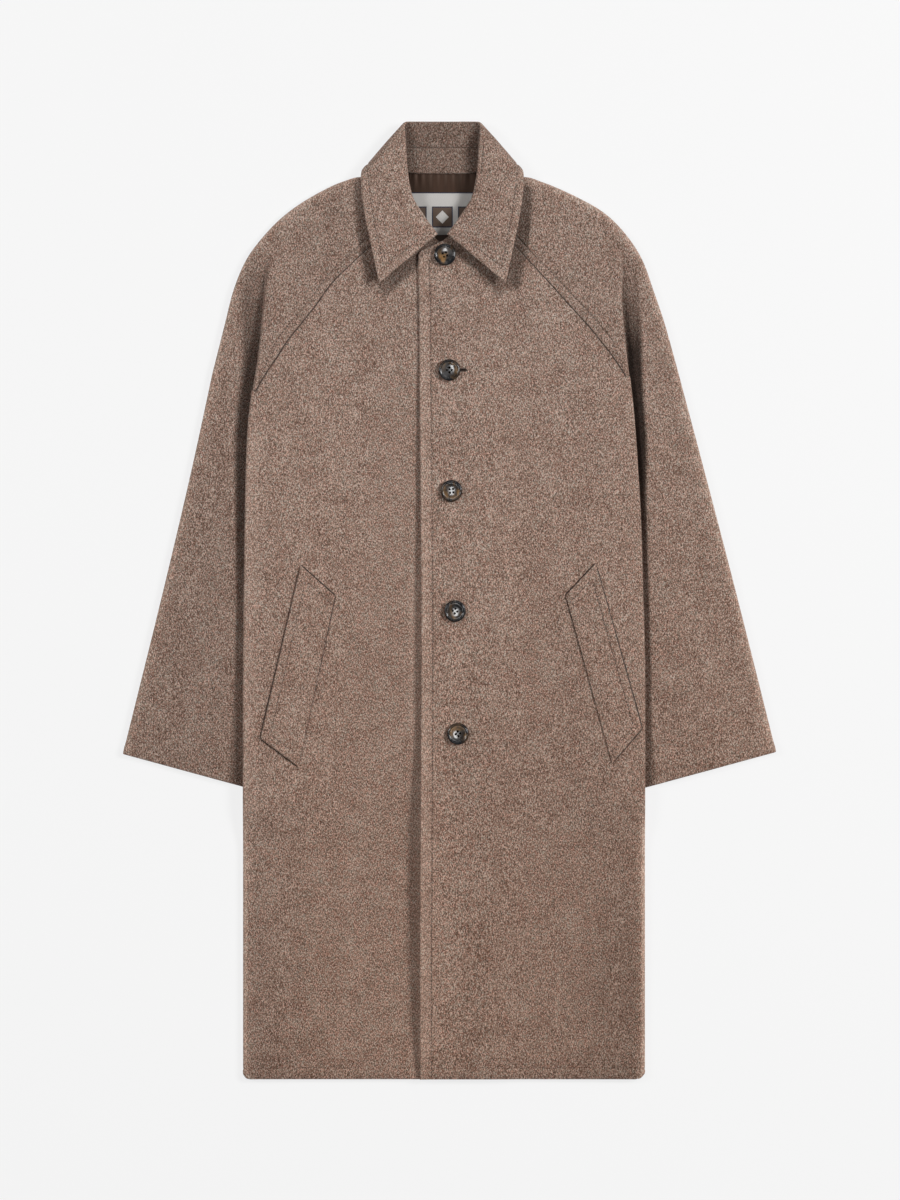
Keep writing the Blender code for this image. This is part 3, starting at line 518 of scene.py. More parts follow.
def stretched(tree, at, scale, lean=0.0):
    """Coordinates multiplied by a scale for each axis, then turned by the lean in radians."""
    return node(tree, "Mapping", {"Vector": at, "Rotation": (0.0, 0.0, lean), "Scale": scale}).outputs[0]


def noise(tree, at, scale, detail, **more):
    """Noise from 0 to 1; more holds numbers for further sockets of its node."""
    return node(tree, "TexNoise", {"Vector": at, "Scale": scale, "Detail": detail, **more}).outputs["Fac"]


def point_tone(tree):
    """The tone that the mesh gives each of its points."""
    return node(tree, "Attribute", {}, attribute_name="tone").outputs["Fac"]


def bump(tree, shader, height, distance, strength):
    """Tilts the shader's normals as if the surface rose by the height times the distance."""
    made = node(tree, "Bump", {"Height": height, "Distance": distance, "Strength": strength})
    tree.links.new(made.outputs[0], shader.inputs["Normal"])


def ramp(tree, value, stops):
    """Colour that runs through the stops as the value rises; each stop is a place and a colour."""
    made = node(tree, "ValToRGB", {"Fac": value})
    bar = made.color_ramp.elements
    while len(bar) < len(stops):
        bar.new(1.0)
    for element, (where, colour) in zip(bar, stops):
        element.position = where
        element.color = colour
    return made.outputs["Color"]


WOOL_TINTS = (            # place on the ramp, fibre colour
    (0.342, (0.080, 0.045, 0.032, 1.0)),
    (0.50, (0.226, 0.150, 0.115, 1.0)),
    (0.658, (0.555, 0.448, 0.385, 1.0)),
)
WOOL_FINISH = {
    "Roughness": 0.92,
    "Sheen Weight": 0.20,
    "Sheen Roughness": 0.5,
    "Sheen Tint": (0.85, 0.70, 0.60, 1.0),
    "Specular IOR Level": 0.2,
}
FIBRE_FINENESS = 760.0    # in waves a metre, as the next ones
STREAK_FINENESS = (1250.0, 420.0, 800.0)   # across, along and up
STREAKS = ((0.62, 0.6), (-0.95, 0.5))   # lean of the fibres in radians, weight
MOTTLE_FINENESS = 48.0    # of the broad drift of lightness
MOTTLE = 0.11             # and its weight in lightness
HUE_MOTTLE = 0.05         # and in hue
HUE_FINENESS = 560.0
ROSY = (1.280, 0.920, 0.840, 1.0)
OLIVE = (0.770, 1.045, 1.080, 1.0)
WARM = (1.010, 0.940, 0.888, 1.0)     # towards the hem
WARM_Y = (0.35, -0.45)    # it comes in between these,
WARM_X = (-0.28, -0.16)   # and between these it falls off to a lesser share on the right sleeve
WARM_LEAST = 0.35         # that share
HIGHLIGHT_GAIN = (2.13, 2.22, 2.28, 1.0)      # times the colour for painted highlights at edges and folds,
HIGHLIGHT_TINT = (0.465, 0.335, 0.265, 1.0)     # half and half with this even colour
HIGHLIGHT_SHARE = 0.32         # of the highlight colour at a tone of 1
DEEP = (0.09, 0.08, 0.075, 1.0)       # times the colour for painted shade in crevices, beside and inside the collar, and other darker tones
DEEP_SHARE = 0.365        # of the deep colour at a tone of -1
NAP_DEPTH = 0.0009
NAP_STRENGTH = 0.55


def wool_material():
    """Wool melange.

    Lightness is fine noise plus noise stretched along two slants and a little broad noise, centred on a
    half. A ramp turns it into fibre tints, other noise drifts them between rosy and olive, and the lightness
    raises the nap. The tone of the cloth paints light and shade into it: above 0 it lightens it as a painted
    highlight at edges and folds, below 0 it darkens it as painted shade in crevices, beside and inside the
    collar and down the coat, and for a darker hem and sleeves.
    """
    made, tree, shader, at = new_material("wool_melange", WOOL_FINISH)
    light = noise(tree, at, FIBRE_FINENESS, 3.0, Roughness=0.75)
    for lean, weight in STREAKS:
        streak = noise(tree, stretched(tree, at, STREAK_FINENESS, lean), 1.0, 2.0)
        light = maths(tree, light, maths(tree, maths(tree, streak, 0.5, "SUBTRACT"), weight, "MULTIPLY"))
    drift = maths(tree, noise(tree, at, MOTTLE_FINENESS, 2.0), 0.5, "SUBTRACT")
    tint = ramp(tree, maths(tree, light, maths(tree, drift, MOTTLE, "MULTIPLY")), WOOL_TINTS)
    fibre_hue = noise(tree, at, HUE_FINENESS, 2.0, Roughness=0.7)
    hue = maths(tree, fibre_hue, maths(tree, drift, HUE_MOTTLE, "MULTIPLY"))
    colour = times(tree, tint, ramp(tree, hue, ((0.25, ROSY), (0.75, OLIVE))))
    parts = node(tree, "SeparateXYZ", {0: at}).outputs
    low = rising(tree, parts["Y"], WARM_Y)
    aside = rising(tree, parts["X"], WARM_X, WARM_LEAST)
    colour = blend(tree, maths(tree, low, aside, "MULTIPLY"), colour, times(tree, colour, WARM))
    tone = point_tone(tree)
    # Painted highlight where the tone is above 0, painted shade and other darkening where it is below 0
    painted_light = blend(tree, 0.5, times(tree, colour, HIGHLIGHT_GAIN), HIGHLIGHT_TINT)
    colour = blend(tree, maths(tree, tone, HIGHLIGHT_SHARE, "MULTIPLY"), colour, painted_light)
    deep = times(tree, colour, DEEP)
    colour = blend(tree, maths(tree, tone, -DEEP_SHARE, "MULTIPLY"), colour, deep)
    tree.links.new(colour, shader.inputs["Base Color"])
    bump(tree, shader, light, NAP_DEPTH, NAP_STRENGTH)
    return made


wool = wool_material()
SECTION_ROWS = np.concatenate(((0.0, 0.02, 0.06), np.linspace(0.12, 9.85, 62), (9.91, 9.95, 9.98, 10.0)))
ARM_ROWS = np.concatenate((shares(90)[1:-1], 1.0 - edge_steps(CUFF_STITCH)[::-1] / ARM_LENGTH))
FLAT_SHARES = np.concatenate((
    (0.0, 0.004, 0.014, 0.04, 0.08, 0.12), np.linspace(0.15, 0.45, 26), np.linspace(0.47, 1.0, 18)))
EDGE_ANGLES = 0.5 * math.pi * np.append(shares(8)[1:], 1.0)


def sections(side, at):
    """Seam, overarm edge and fold share of the sleeve's sections, as curves through the shoulder table."""
    table = SHOULDER[side]
    return [curve(np.arange(len(table)), column(table, index), at) for index in range(5)]


def edge_radius(upper, lower):
    """Radius of the quarter turn that takes each of two cloths half way to the other."""
    return np.abs(upper - lower) / 2 - GAP / 2 - EDGE_END


def overarm_edge(upper, lower):
    """Quarter turn to the overarm edge: distance in from the outline and drop from the flat cloth."""
    radius = edge_radius(upper, lower)[:, None]
    out = CLOTH / 2 + radius * (1.0 - np.sin(EDGE_ANGLES))
    drop = radius * (1.0 - np.cos(EDGE_ANGLES))
    drop[:, -1] += EDGE_END
    return out, drop


def arm_lines(side, inner_a, inner_y, over_a, over_y):
    """Sections of the lower sleeve, as curves from the crossing through the arm table to the cuff."""
    table = ((inner_a, inner_y, over_a, over_y),) + ARM[side]
    return [curve(ARM_KNOTS, column(table, index), ARM_ROWS) for index in range(4)]


def flat_sleeve(side, lines, half):
    """Flat half of a sleeve: straight sections, with a quarter turn to the other half at their outer end."""
    inner_a, inner_y, over_a, over_y = lines
    length = np.hypot(over_a - inner_a, over_y - inner_y)
    upper = overarm_height(over_a, over_y)
    lower = back_height(over_a, over_y)
    flat_height = lower_height if half == "front" else back_height
    edge_height = upper if half == "front" else lower
    bulge = edge_height - flat_height(over_a, over_y)
    down = 1.0 if half == "front" else -1.0
    out, drop = overarm_edge(upper, lower)
    flat_end = length - CLOTH / 2 - edge_radius(upper, lower)
    q = np.concatenate((flat_end[:, None] * FLAT_SHARES, length[:, None] - out), axis=1)
    across = inner_a[:, None] + ((over_a - inner_a) / length)[:, None] * q
    y = inner_y[:, None] + ((over_y - inner_y) / length)[:, None] * q
    inside = flat_end[:, None] - q
    height = flat_height(across, y) + bulge[:, None] * ease(1.0 - inside / EDGE_SPREAD)
    if half == "front":
        height = height + sleeve_puff(side, across, y, inside)
    height[:, -EDGE_ANGLES.size:] = edge_height[:, None] - down * drop
    return place(side, across, y, height)


def sleeve_front(side):
    """Front half of a sleeve: grid, mask, relief, tone, underarm point and column of the topstitching.

    A section runs flat from the seam, turns through an S of an arc, a straight tuck and an arc back, runs
    flat on and rolls down by a quarter turn at the overarm edge. Below the crossing only the flat part goes
    on.
    """
    seam_a, seam_y, over_a, over_y, fold_at = sections(side, SECTION_ROWS)
    length = np.hypot(over_a - seam_a, over_y - seam_y)
    dir_a = (over_a - seam_a) / length
    dir_y = (over_y - seam_y) / length
    fold_q = fold_at * length
    turn, radius, tuck = fold_shape(side, seam_y + dir_y * fold_q)
    blunt = CLOTH / 2 * ease((turn - BLUNT_FROM) / BLUNT_SPREAD)
    start_q = np.maximum(fold_q - radius * np.sin(np.minimum(turn, math.pi / 2)) - blunt, LEAST_FLAT)

    near = edge_steps(SEAM_STITCH)
    first = spread(start_q, near, 20, FOLD_STEP)
    bend = turn[:, None] * shares(10)[1:]
    r = radius[:, None]
    bend_q = r * np.sin(bend)
    bend_d = r * (1.0 - np.cos(bend))
    slide = tuck[:, None] * shares(6)[1:]
    slide_q = bend_q[:, -1:] + slide * np.cos(turn)[:, None]
    slide_d = bend_d[:, -1:] + slide * np.sin(turn)[:, None]
    back = turn[:, None] * shares(10)[-2::-1]
    back_q = slide_q[:, -1:] + r * (np.sin(turn)[:, None] - np.sin(back))
    back_d = slide_d[:, -1:] + r * (np.cos(back) - np.cos(turn)[:, None])
    s_q = start_q[:, None] + np.concatenate((bend_q, slide_q, back_q), axis=1)
    s_d = np.concatenate((bend_d, slide_d, back_d), axis=1)

    edge_top = overarm_height(over_a, over_y)
    edge_low = back_height(over_a, over_y)
    bulge = edge_top - lower_height(over_a, over_y)
    edge_out, edge_drop = overarm_edge(edge_top, edge_low)
    flat_end = length - CLOTH / 2 - edge_radius(edge_top, edge_low)
    last = s_q[:, -1:] + (flat_end[:, None] - s_q[:, -1:]) * FLAT_SHARES[1:]
    q = np.concatenate((first, s_q, last, length[:, None] - edge_out), axis=1)
    across = seam_a[:, None] + dir_a[:, None] * q
    y = seam_y[:, None] + dir_y[:, None] * q
    height = lower_height(across, y)
    upper = upper_height(side, across, y)
    count = first.shape[1]
    swell = (upper - height)[:, count - 1:count]
    height[:, :count] = upper[:, :count]
    bends = slice(count, count + s_q.shape[1])
    height[:, bends] = height[:, bends] + swell * (1.0 - s_d / s_d[:, -1:])
    inside = flat_end[:, None] - q
    height = height + bulge[:, None] * ease(1.0 - inside / EDGE_SPREAD)
    outer = slice(bends.stop, None)
    height[:, outer] += sleeve_puff(side, across[:, outer], y[:, outer], inside[:, outer])
    height[:, -EDGE_ANGLES.size:] = edge_top[:, None] - edge_drop
    shoulder = place(side, across, y, height)

    lead = count + s_q.shape[1] - 1
    underarm = (across[-1, lead], y[-1, lead])
    arm = flat_sleeve(side, arm_lines(side, *underarm, over_a[-1], over_y[-1]), "front")
    rows = len(SECTION_ROWS)
    grid = np.zeros((rows + len(ARM_ROWS), shoulder.shape[1], 3))
    grid[:rows] = shoulder
    grid[rows:, lead:] = arm
    present = np.ones(grid.shape[:2], dtype=bool)
    present[rows:, :lead] = False
    relief = np.zeros(grid.shape[:2])
    seam_fade = ease((start_q - SEAM_STITCH) / SEAM_STITCH)[:, None]
    relief[:rows, :count] = groove(q[:, :count], SEAM_STITCH) * seam_fade
    to_cuff = ARM_LENGTH * (1.0 - ARM_ROWS)
    relief[rows:, lead:] += groove(to_cuff, CUFF_STITCH, HEM_GROOVE)[:, None]
    stitched = list(near).index(SEAM_STITCH)
    return grid, present, relief, sleeve_tone(side, grid, lead), underarm, stitched


def sleeve_back(side, underarm):
    """Back half of a sleeve, flat on the floor from the straight back raglan seam to the overarm edge."""
    over_a, over_y = sections(side, SECTION_ROWS)[2:4]
    share = SECTION_ROWS / SECTION_ROWS[-1]
    seam_a = BACK_NECK[0] + (underarm[0] - BACK_NECK[0]) * share
    seam_y = BACK_NECK[1] + (underarm[1] - BACK_NECK[1]) * share
    upper = flat_sleeve(side, (seam_a, seam_y, over_a, over_y), "back")
    arm = flat_sleeve(side, arm_lines(side, *underarm, over_a[-1], over_y[-1]), "back")
    return np.concatenate((upper, arm), axis=0)


underarms = {}
stitch_lines = []         # top points and normals along each line of topstitching
for side in SIDES:
    grid, present, relief, tone, underarms[side], stitched = sleeve_front(side)
    lower_half, _, _ = sheet_mesh("sleeve_%s_back_cloth" % side, sleeve_back(side, underarms[side]), wool)
    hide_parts("sleeve_%s_back" % side)
    upper_half, top, normal = sheet_mesh(
        "sleeve_%s_front_cloth" % side, grid, wool,
        present=present, relief=relief, facing=(20, 2), tone=tone)
    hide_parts("sleeve_%s_front" % side)
    seam_rows = len(SECTION_ROWS) - UNSEWN_ROWS
    stitch_lines.append((top[:seam_rows, stitched], normal[:seam_rows, stitched]))

# Back.
# One piece of the same wool, flat on the floor under everything else.
# It is sewn to the turned-under strips of the fronts at the side seams, and to the sleeve backs above them.
HEM_Y = -0.5500
SIDE_TURN = 0.066         # breadth of the strip of the front that is turned under, to the side seam
TURN_RADIUS = 0.0038      # of the side fold, in the middle of the cloth
TURN_SLANT = 1.30         # the strip's end slopes this many times the sleeve's section
CROSSING_GAP = 0.0003     # between sleeve and front where the seam runs round the fold
SEAM_GAP = 0.0007         # at the underarm
BACK_SEAM_GAP = 4.0 * GAP   # beside the sleeve backs
SEAM_LAP = 0.0012         # the side seams press the rounded edges of back and strip this far into each other
BACK_HALF = 0.15          # about half its breadth, which the rim's steps are shares of


def fold_start(section):
    """Point of the side fold on a section of the sleeve, at its fold share."""
    seam_a, seam_y, over_a, over_y, fold_at = section
    return seam_a + (over_a - seam_a) * fold_at, seam_y + (over_y - seam_y) * fold_at


def section_slant(section):
    """Slope of a section of the sleeve."""
    return (section[3] - section[1]) / (section[2] - section[0])


def seam_top(side):
    """Upper end of the side seam: the end of the strip turned under at the crossing."""
    section = SHOULDER[side][-1]
    fold_a, fold_y = fold_start(section)
    slant = TURN_SLANT * section_slant(section)
    reach = (TURN_RADIUS + CLOTH / 2 + SIDE_TURN) / math.hypot(1.0, slant)
    return fold_a - reach + SEAM_LAP, fold_y - slant * reach - CROSSING_GAP


def back_side(side):
    """Edge of the back from the hem to the neck: side seam, underarm and a straight raglan seam."""
    under_a, under_y = underarms[side]
    top_a, top_y = seam_top(side)
    low_y = HEM_Y + (top_y - HEM_Y) * np.concatenate((RIM / (top_y - HEM_Y), shares(60)[1:]))
    low_a = fold_across(side, low_y) - CLOTH / 2 - TURN_RADIUS - SIDE_TURN + SEAM_LAP
    low_a[-1] = min(low_a[-1], top_a)
    high_y = np.linspace(under_y + SEAM_GAP, BACK_NECK[1], 30)
    share = (high_y - under_y) / (BACK_NECK[1] - under_y)
    high_a = under_a - BACK_SEAM_GAP + (BACK_NECK[0] - under_a) * share
    return np.concatenate((low_a, high_a)), np.concatenate((low_y, high_y))


def back_panel():
    """Back: each row joins the same point of both sides, and lies at the back's height."""
    right_a, right_y = back_side("right")
    left_a, left_y = back_side("left")
    rim = RIM / BACK_HALF
    share = np.concatenate((-1.0 + rim, np.linspace(-1.0, 1.0, 42)[1:-1], 1.0 - rim[::-1]))
    across = np.where(share < 0.0, share * right_a[:, None], share * left_a[:, None])
    y = 0.5 * (right_y + left_y)[:, None] + 0.5 * (left_y - right_y)[:, None] * share
    return place("left", across, y, back_height(across, y))


back, _, _ = sheet_mesh("back_cloth", back_panel(), wool)
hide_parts("back")

# Lining and label at the back neck.
# A panel of dark brown satin inside the back, seen through the neck, sewn on below the collar stand.
# On it lies a woven off-white label without a name, with a line and a row of plain framed lozenges.
THIN = 0.0010             # lining and label
COLLAR_CENTRE = -0.0082   # x of the centre line of the collar
LINING_ACROSS = 0.039     # half breadths, from the collar's centre line
LINING_Y = (0.4000, 0.4920)
LABEL_ACROSS = 0.037
LABEL_Y = (0.4200, 0.4688)
PUCKER = 0.00035          # height of the small puckers below the stand
PUCKER_PITCH = 0.0085
PUCKER_Y = (0.470, 0.490)   # they come in between these
SATIN_FINISH = {"Roughness": 0.45, "Specular Tint": (0.75, 0.55, 0.45, 1.0)}
SATIN_FINENESS = (150.0, 12.0, 60.0)   # of its streaks, across, along and up, in waves a metre
SATIN_WEAVE = 2600.0
# The streaks run between these two colours; the lighter ones are painted sheen
SATIN_DARK = (0.017, 0.009, 0.0055, 1.0)
SATIN_LIGHT = (0.045, 0.023, 0.015, 1.0)
LABEL_FINISH = {"Roughness": 0.8}
LABEL_CREAM = (0.52, 0.50, 0.48, 1.0)
LABEL_BROWN = (0.095, 0.060, 0.042, 1.0)
LABEL_NAVY = (0.022, 0.024, 0.045, 1.0)
LABEL_RIB = (0.78, 0.78, 0.78, 1.0)   # between the ribs of the weave
WHITE = (1.0, 1.0, 1.0, 1.0)
RIB_FINENESS = (900.0, 2600.0, 900.0)
WEAVE_DEPTH = 0.0003      # of satin and label
LABEL_LINE = 0.0007       # half breadth of a woven line
LABEL_TOP_LINE = 0.4682   # y of the line along the upper edge
TILE = 0.0300             # pitch of the woven tiles
TILE_SIDE = 0.0240
TILE_Y = 0.4405           # of their middles
TILE_RIM = 0.0013         # breadth of a tile's navy frame
LOZENGE = 0.0075          # half height of the lozenge in a tile


def patch(reach, low, high, columns, rows, above):
    """Rectangle of thin cloth on the back: the back's height moved up, on an even grid with rims."""
    span = high - low
    y = np.concatenate((low + RIM[::2], low + span * shares(rows)[1:-1], high - RIM[::-2]))[:, None]
    x = np.concatenate((-reach + RIM[::2], reach * np.linspace(-1.0, 1.0, columns)[1:-1], reach - RIM[::-2]))
    across = COLLAR_CENTRE - CENTRE + x[None, :]
    return place("left", across, y, back_height(across, y) + above)


def satin_material():
    """Satin: dark brown with lighter streaks of painted sheen stretched along the coat, from noise far finer
    across than along.
    """
    made, tree, shader, at = new_material("satin_lining", SATIN_FINISH)
    streak = noise(tree, stretched(tree, at, SATIN_FINENESS), 1.0, 3.0)
    weave = noise(tree, at, SATIN_WEAVE, 0.0)
    tint = ramp(tree, streak, ((0.32, SATIN_DARK), (0.70, SATIN_LIGHT)))
    tree.links.new(tint, shader.inputs["Base Color"])
    bump(tree, shader, maths(tree, streak, weave), WEAVE_DEPTH, 0.35)
    return made


def apart(tree, first, second):
    """Distance between two numbers."""
    return maths(tree, maths(tree, first, second, "SUBTRACT"), 0.0, "ABSOLUTE")


def label_material():
    """Woven label: cream ground with fine ribs, a navy line along the top, and a row of framed brown tiles.

    A tile is where the larger of the distances from its middle in x and y is below half its side. Its
    lozenge is where their sum is below the lozenge's half height.
    """
    made, tree, shader, at = new_material("label_weave", LABEL_FINISH)
    parts = node(tree, "SeparateXYZ", {0: at}).outputs
    line = maths(tree, apart(tree, parts["Y"], LABEL_TOP_LINE), LABEL_LINE, "LESS_THAN")
    along = maths(tree, parts["X"], COLLAR_CENTRE + 0.5 * TILE, "SUBTRACT")
    across = apart(tree, maths(tree, along, 0.5 * TILE, "PINGPONG"), 0.5 * TILE)
    up = apart(tree, parts["Y"], TILE_Y)
    far = maths(tree, across, up, "MAXIMUM")
    tile = maths(tree, far, 0.5 * TILE_SIDE, "LESS_THAN")
    field = maths(tree, far, 0.5 * TILE_SIDE - TILE_RIM, "LESS_THAN")
    lozenge = maths(tree, maths(tree, across, up), LOZENGE, "LESS_THAN")
    woven = blend(tree, lozenge, LABEL_BROWN, LABEL_CREAM)
    framed = blend(tree, field, LABEL_NAVY, woven)
    ground = blend(tree, tile, LABEL_CREAM, framed)
    marked = blend(tree, line, ground, LABEL_NAVY)
    rib = noise(tree, stretched(tree, at, RIB_FINENESS), 1.0, 1.0)
    shade = ramp(tree, rib, ((0.25, LABEL_RIB), (0.75, WHITE)))
    tree.links.new(times(tree, marked, shade), shader.inputs["Base Color"])
    bump(tree, shader, rib, WEAVE_DEPTH, 0.5)
    return made


lining_above = CLOTH / 2 + GAP + THIN / 2
lining_grid = patch(LINING_ACROSS, *LINING_Y, 90, 40, lining_above)
near_stand = eased(lining_grid[..., 1], PUCKER_Y)
pucker = PUCKER * near_stand * (1.0 + np.sin(lining_grid[..., 0] * 2.0 * math.pi / PUCKER_PITCH))
lining, _, _ = sheet_mesh(
    "lining_back_neck_satin", lining_grid, satin_material(), THIN, relief=pucker, facing=(10, 10))
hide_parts("lining_back_neck")
label_grid = patch(LABEL_ACROSS, *LABEL_Y, 30, 20, lining_above + GAP + THIN)
label, _, _ = sheet_mesh("label_woven", label_grid, label_material(), THIN, facing=(10, 10))
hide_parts("label")

# Fronts.
# Two pieces of wool, the left lapped over the right and buttoned, each turned under along its side fold.
# The left one's edge is topstitched and stands off a little towards the hem; both are hemmed below.
UNDER_EDGE = -0.0328      # front edge of the right front, under the left one
# Neck edge and front edge, a row for each of the first sections: across, y
FRONT_INNER = {
    "right": (
        (0.0330, 0.4537),
        (0.0215, 0.4353),
        (0.0090, 0.4157),
        (-0.0030, 0.4075),
        (-0.0328, 0.3950),
        (-0.0328, 0.3720),
        (-0.0328, 0.3450),
        (-0.0328, 0.3180),
        (-0.0328, 0.2900),
        (-0.0328, 0.2640),
    ),
    "left": (
        (0.0330, 0.4537),
        (0.0195, 0.4330),
        (0.0015, 0.4146),
        (-0.0290, 0.3975),
        (-0.0292, 0.3820),
        (-0.0287, 0.3640),
        (-0.0282, 0.3400),
        (-0.0279, 0.3150),
        (-0.0276, 0.2900),
        (-0.0274, 0.2680),
    ),
}
# Front edge of the left front: y, across, how far the edge stands off the right front
FRONT_EDGE = (
    (-0.5500, -0.0270, 0.0026),
    (-0.4594, -0.0270, 0.0098),
    (-0.2869, -0.0264, 0.0128),
    (-0.2100, -0.0260, 0.0094),
    (-0.1300, -0.0256, 0.0058),
    (-0.0100, -0.0254, 0.0060),
    (0.1000, -0.0264, 0.0036),
    (0.1731, -0.0270, 0.0024),
    (0.3456, -0.0282, 0.0000),
    (0.3975, -0.0290, 0.0000),
)
EDGE_STAND = 0.024        # breadth of the front edge that stands off
OVERLAP_CLEAR = 0.016     # the left front stays level this far past the right one's edge
OVERLAP_RAMP = 0.050      # and then comes down within this
OVERLAP_TOP_Y = (0.4160, 0.4400)   # the overlap ends between these
TURN_LEVEL = 0.037        # of the strip turned under, what lies level on the tucked sleeve
TURN_SLANT_LENGTH = 0.075  # the strip's rows turn from the sleeve's section to level within this
TURN_SQUARE = 0.4         # power of sine and cosine that makes the pressed fold squarer than a half round
RAGLAN_CLEAR = 1.5 * GAP  # between front and sleeve at their seam
ROW_STEP = 0.004          # the level rows start this far below the last one that fans out
HEM_CORNER = {"right": (0.0045, 0.0090), "left": (0.0070, 0.0110)}   # breadth and height of its rounding
HEM_RISE = 0.0020         # the hem rises this far in the turn at its corner
FOLD_HIGHLIGHT = {"right": 0.8, "left": 0.05}   # painted highlight of the pressed side folds
FOLD_HIGHLIGHT_BREADTH = 0.022
FOLD_HIGHLIGHT_FADE = 0.070    # from the crossing down
LOW_EDGE_LIGHT = {"right": 1.8, "left": 2.4}   # below the cuffs a painted highlight makes the side edge lighter still,
LOW_EDGE_BREADTH = 0.0035
LOW_EDGE_FADE = 0.05      # which comes in within this
LOW_SIDE_TONE = {"right": 0.42, "left": 0.66}   # and painted shade darkens the cloth beside it towards the hem
LOW_SIDE_BREADTH = 0.12
LOW_SIDE_Y = (-0.20, -0.45)
LOW_TONE = {"right": 0.04, "left": 0.25}   # and painted shade darkens all of it down the coat,
LOW_TONE_Y = (0.08, -0.22)
LOW_TONE_INSIDE = (0.025, 0.065)   # though less beside the front edge
HEM_TONE = 0.35           # the hem is darker
HEM_TONE_BREADTH = 0.035
EDGE_HIGHLIGHT = 0.75          # painted highlight along the left front's edge
EDGE_HIGHLIGHT_BREADTH = 0.018
EDGE_FADE = 0.004         # painted highlight and topstitching start within this below the neck
UNDER_LIGHT = 0.9          # and painted light on the right front, which lightens the shade beside that edge,
UNDER_LIGHT_ACROSS = (0.020, 0.040)   # between these,
UNDER_LIGHT_FADE = (0.004, 0.006)     # fading at both
UNDER_LIGHT_Y = (0.10, 0.00)
FRONT_STITCH = 0.0130     # topstitching beside the front edge
HEM_STITCH = 0.0120
# Soft troughs in the fronts: side, upper end across and y, lower end across and y, half breadth, depth
TROUGHS = (
    ("right", 0.0820, -0.0220, 0.1400, -0.3200, 0.026, 0.0022),
    ("right", 0.1180, 0.3300, 0.1120, 0.1800, 0.022, 0.0008),
    ("right", 0.1500, -0.3600, 0.1750, -0.5500, 0.040, 0.0012),
    ("left", 0.1080, -0.0220, 0.1700, -0.3450, 0.028, 0.0022),
    ("left", 0.0760, 0.3500, 0.0440, 0.1700, 0.024, 0.0008),
    ("left", 0.1780, -0.3600, 0.1780, -0.5300, 0.034, 0.0012),
)
TROUGH_PAST = 0.25        # shares of its length that a trough goes on past its ends,
TROUGH_FADE = 0.4         # and within which it comes in


def troughs(side, across, y):
    """Sum of soft troughs: a bell across each line from its upper to its lower end, easing out past both."""
    total = np.zeros(np.broadcast(across, y).shape)
    for its_side, a0, y0, a1, y1, half, depth in TROUGHS:
        if its_side == side:
            length = math.hypot(a1 - a0, y1 - y0)
            run = ((across - a0) * (a1 - a0) + (y - y0) * (y1 - y0)) / length ** 2
            off = ((across - a0) * (y1 - y0) - (y - y0) * (a1 - a0)) / length
            ends = ease((run + TROUGH_PAST) / TROUGH_FADE) * ease((1.0 + TROUGH_PAST - run) / TROUGH_FADE)
            total = total + depth * ends * np.exp(-(off / half) ** 2)
    return total


def front_height(side, across, y):
    """Upper height with the troughs; the left front also lies on the right one and its edge stands off."""
    height = upper_height(side, across, y)
    height = np.maximum(height - troughs(side, across, y), lower_height(across, y))
    if side == "left":
        beside = ease((-UNDER_EDGE + OVERLAP_CLEAR + OVERLAP_RAMP - across) / OVERLAP_RAMP)
        height = height + PITCH * beside * eased(y, OVERLAP_TOP_Y[::-1])
        knots = column(FRONT_EDGE, 0)
        inside = np.clip(across - curve(knots, column(FRONT_EDGE, 1), y), 0.0, EDGE_STAND)
        height = height + curve(knots, column(FRONT_EDGE, 2), y) * (1.0 - inside / EDGE_STAND) ** 2
    return height


BODY_LENGTH = 0.80        # from the crossing to the hem, for steps in shares of it
BODY_ROWS = np.concatenate((
    (0.0, 0.0005, 0.0016), np.linspace(0.004, 0.98, 170), 1.0 - edge_steps(HEM_STITCH)[::-1] / BODY_LENGTH))
SEAM_ROWS = np.concatenate(((0.0, 0.02, 0.06), np.linspace(0.12, 9.80, 60)))


def hem_corner(side, up):
    """How far the side of a front is rounded in at a height up from the hem, by a quarter of an ellipse."""
    breadth, height = HEM_CORNER[side]
    return breadth * (1.0 - np.sqrt(1.0 - np.clip(1.0 - up / height, 0.0, 1.0) ** 2))


def hem_rise(side, up):
    """How far the turn at the hem's corner is raised at a height up from the hem, easing out above it."""
    return HEM_RISE * ease(1.0 - up / HEM_CORNER[side][1])


def low_tone(side, to_side, to_hem, y):
    """Tone of the rows below the crossing.

    A painted highlight by an ease beside the side fold, and below the cuffs by an exponential from the side
    edge.
    Painted shade by an ease beside the side towards the hem, and darker by an ease at the hem.
    """
    top_y = fold_start(SHOULDER[side][-1])[1]
    below = ease((CUFF_CLEAR_Y[1] - y) / LOW_EDGE_FADE)
    fold_light = FOLD_HIGHLIGHT[side] * (1.0 - below) * ease((top_y - y) / FOLD_HIGHLIGHT_FADE)
    tone = fold_light * ease(1.0 - to_side / FOLD_HIGHLIGHT_BREADTH)
    tone = tone + below * LOW_EDGE_LIGHT[side] * np.exp(-to_side / LOW_EDGE_BREADTH)
    tone = tone - LOW_SIDE_TONE[side] * ease(1.0 - to_side / LOW_SIDE_BREADTH) * eased(y, LOW_SIDE_Y)
    return tone - HEM_TONE * ease(1.0 - to_hem / HEM_TONE_BREADTH)


